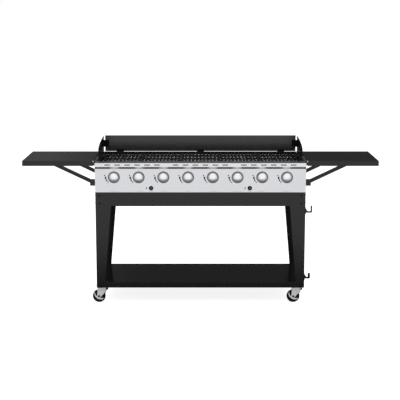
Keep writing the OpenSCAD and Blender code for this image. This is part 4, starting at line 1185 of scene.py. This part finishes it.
@dataclass
class Studio:
    """The camera at the photograph's place, a pale floor and soft light.

    A mirrored tone is what polished things show of the floor and of the surround; the floor's is a
    painted shadow of the grill.
    """

    focal_px: float = 1080.0
    image_px: float = 400.0
    sensor_mm: float = 36.0
    pitch_deg: float = 10.22
    height: float = 2.036
    distance: float = 7.249
    front_y: float = -0.26285
    shift_x: float = -0.003
    view_to: float = 100.0
    floor_size: float = 60.0
    floor_drop: float = 0.0005
    floor_grey: float = 0.8
    floor_glow: float = 0.85
    # Painted shadow of the grill in the mirrored floor: its footprint, the distance over which it
    # fades, and its tones beside and behind.
    footprint: Pair = (0.73, 0.27)
    shadow_fades_by: float = 2.3
    back_over: Pair = (-0.1, 0.3)
    aside_over: Pair = (0.8, 1.6)
    mirrored_side: float = 0.12
    shadow_behind_tone: float = 0.12
    mirrored_aside: float = 0.9
    front_over: Pair = (0.0, -0.75)
    behind_over: Pair = (0.0, 0.6)
    wall_over: Pair = (-0.14, -0.06)
    wall_tones: Pair = (0.13, 0.05)
    high_over: Pair = (0.38, 0.85)
    world_light: float = 0.5
    lamps: tuple[Lamp, ...] = (
        Lamp("key_lamp", (-2.5, -3.0, 4.5), 3.0, 60.0),
        Lamp("fill_lamp", (2.8, -2.0, 3.5), 3.0, 20.0),
        Lamp("top_lamp", (0.0, 0.25, 3.8), 2.0, 40.0),
    )
    lit_point: Triple = (0.0, 0.0, 0.8)

    def build(self) -> None:
        """Makes the camera, the floor, the world and the lamps."""
        self._camera()
        self._floor()
        self._world()
        for lamp in self.lamps:
            self._hang(lamp)
        bpy.context.scene.view_settings.view_transform = "Standard"

    def _camera(self) -> None:
        """Puts the camera where the photograph was taken."""
        data = bpy.data.cameras.new("camera")
        data.sensor_width = self.sensor_mm
        data.lens = self.focal_px / self.image_px * self.sensor_mm
        data.clip_end = self.view_to
        camera = add_object("camera", data)
        camera.location = (self.shift_x, self.front_y - self.distance, self.height)
        camera.rotation_euler = (math.radians(90.0 - self.pitch_deg), 0.0, 0.0)
        bpy.context.scene.camera = camera

    def _floor(self) -> None:
        """Lays a pale floor that keeps a faint shadow, and whose tone in polished things is a
        painted shadow of the grill.
        """
        shape = bmesh.new()
        bmesh.ops.create_grid(shape, x_segments=1, y_segments=1, size=self.floor_size / 2)
        bmesh.ops.translate(shape, verts=shape.verts, vec=(0.0, 0.0, -self.floor_drop))
        mesh = bpy.data.meshes.new("floor")
        shape.to_mesh(mesh)
        shape.free()
        material = bpy.data.materials.new("floor_paint")
        sketch = NodeSketch.fresh(material)
        path = sketch.add("ShaderNodeLightPath")
        matt = sketch.add("ShaderNodeBsdfDiffuse", {"Color": even(self.floor_grey)})
        glow = sketch.add("ShaderNodeEmission", {
            "Color": self._direct(sketch, path), "Strength": self.floor_glow,
        })
        lit = sketch.add("ShaderNodeAddShader", {0: matt.outputs[0], 1: glow.outputs[0]})
        # Glossy rays see the floor's painted shadow of the grill, not its real shading.
        mirrored = sketch.add("ShaderNodeEmission", {"Color": self._painted_floor_shadow(sketch)})
        mix = sketch.add("ShaderNodeMixShader", {
            0: path.outputs["Is Glossy Ray"], 1: lit.outputs[0], 2: mirrored.outputs[0],
        })
        sketch.add("ShaderNodeOutputMaterial", {"Surface": mix.outputs[0]})
        mesh.materials.append(material)
        add_object("floor", mesh)

    def _painted_floor_shadow(self, sketch: NodeSketch) -> Socket:
        """Works out the floor's mirrored tone, a painted shadow of the grill: dark near it, beside
        it and behind it.

        Args:
            sketch: The floor's sketch.

        Returns:
            The tone.
        """
        coords = sketch.add("ShaderNodeTexCoord")
        place = sketch.add("ShaderNodeSeparateXYZ", {0: coords.outputs["Object"]})
        ways = []
        for axis, half in zip("XY", self.footprint):
            beyond = sketch.math("SUBTRACT", sketch.math("ABSOLUTE", place.outputs[axis]), half)
            ways.append(sketch.math("MAXIMUM", beyond, 0.0))
        beside, before = ways
        squares = [sketch.math("POWER", way, 2.0) for way in ways]
        far = sketch.math("SQRT", sketch.math("ADD", *squares))
        # Painted shadow: the mirrored floor is darker near the grill, beside it and behind it.
        shadow_near_tone = sketch.ramp(far, (0.0, self.shadow_fades_by))
        straight = sketch.math("DIVIDE", before, sketch.math("MAXIMUM", far, MM))
        shadow_beside_tone = sketch.ramp(straight, tones=(self.mirrored_side, 1.0))
        aside = sketch.ramp(beside, self.aside_over, (self.shadow_behind_tone, self.mirrored_aside))
        back = sketch.mix(sketch.ramp(place.outputs["Y"], self.back_over), WHITE, aside)
        return sketch.math("MULTIPLY", sketch.math("MULTIPLY", shadow_near_tone, shadow_beside_tone), back)

    def _world(self) -> None:
        """Makes a white surround, which looks dim at the sides and behind in polished things."""
        world = bpy.data.worlds.new("surround")
        bpy.context.scene.world = world
        sketch = NodeSketch.fresh(world)
        path = sketch.add("ShaderNodeLightPath")
        direct = self._direct(sketch, path)
        light = sketch.add("ShaderNodeBackground", {"Color": WHITE, "Strength": self.world_light})
        seen = sketch.add("ShaderNodeBackground", {
            "Color": sketch.mix(direct, self._mirrored_world(sketch), WHITE), "Strength": 1.0,
        })
        either = sketch.math("MAXIMUM", direct, path.outputs["Is Glossy Ray"])
        mix = sketch.add("ShaderNodeMixShader", {
            0: either, 1: light.outputs[0], 2: seen.outputs[0],
        })
        sketch.add("ShaderNodeOutputWorld", {"Surface": mix.outputs[0]})

    def _mirrored_world(self, sketch: NodeSketch) -> Socket:
        """Works out the surround's mirrored tone: white above and in front, dim elsewhere.

        Args:
            sketch: The world's sketch.

        Returns:
            The tone.
        """
        coords = sketch.add("ShaderNodeTexCoord")
        way = sketch.add("ShaderNodeSeparateXYZ", {0: coords.outputs["Generated"]})
        front = sketch.ramp(way.outputs["Y"], self.front_over, (self.mirrored_side, 1.0))
        wall = sketch.ramp(way.outputs["X"], self.wall_over, self.wall_tones)
        low = sketch.mix(sketch.ramp(way.outputs["Y"], self.behind_over), front, wall)
        return sketch.mix(sketch.ramp(way.outputs["Z"], self.high_over), low, WHITE)

    @staticmethod
    def _direct(sketch: NodeSketch, path: bpy.types.Node) -> Socket:
        """Gives 1 for what the camera sees itself or through something clear."""
        kinds = [path.outputs[f"Is {kind} Ray"] for kind in ("Camera", "Transmission")]
        return sketch.math("MAXIMUM", *kinds)

    def _hang(self, lamp: Lamp) -> None:
        """Hangs a lamp and aims it at the grill.

        Args:
            lamp: The lamp.
        """
        data = bpy.data.lights.new(lamp.name, "AREA")
        data.size = lamp.size
        data.energy = lamp.power
        hung = add_object(lamp.name, data)
        hung.location = lamp.place
        aim = Vector(self.lit_point) - Vector(lamp.place)
        hung.rotation_euler = aim.to_track_quat("-Z", "Y").to_euler()
        hung.visible_glossy = False


def main() -> None:
    """Builds the studio and every sub-assembly, and reports each piece."""
    logging.basicConfig(level=logging.INFO, format="%(message)s")
    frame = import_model()
    Studio().build()
    shop = Paintshop(frame["record"])
    for node in frame["nodes"].values():
        shop.paint_node(node)
    workshop = Workshop(frame, shop)
    for assembly in (Cart, Firebox, SideTables, Grates, Knobs, ControlMarks, Igniters, Casters):
        assembly(workshop).build()


if __name__ == "__main__":
    main()
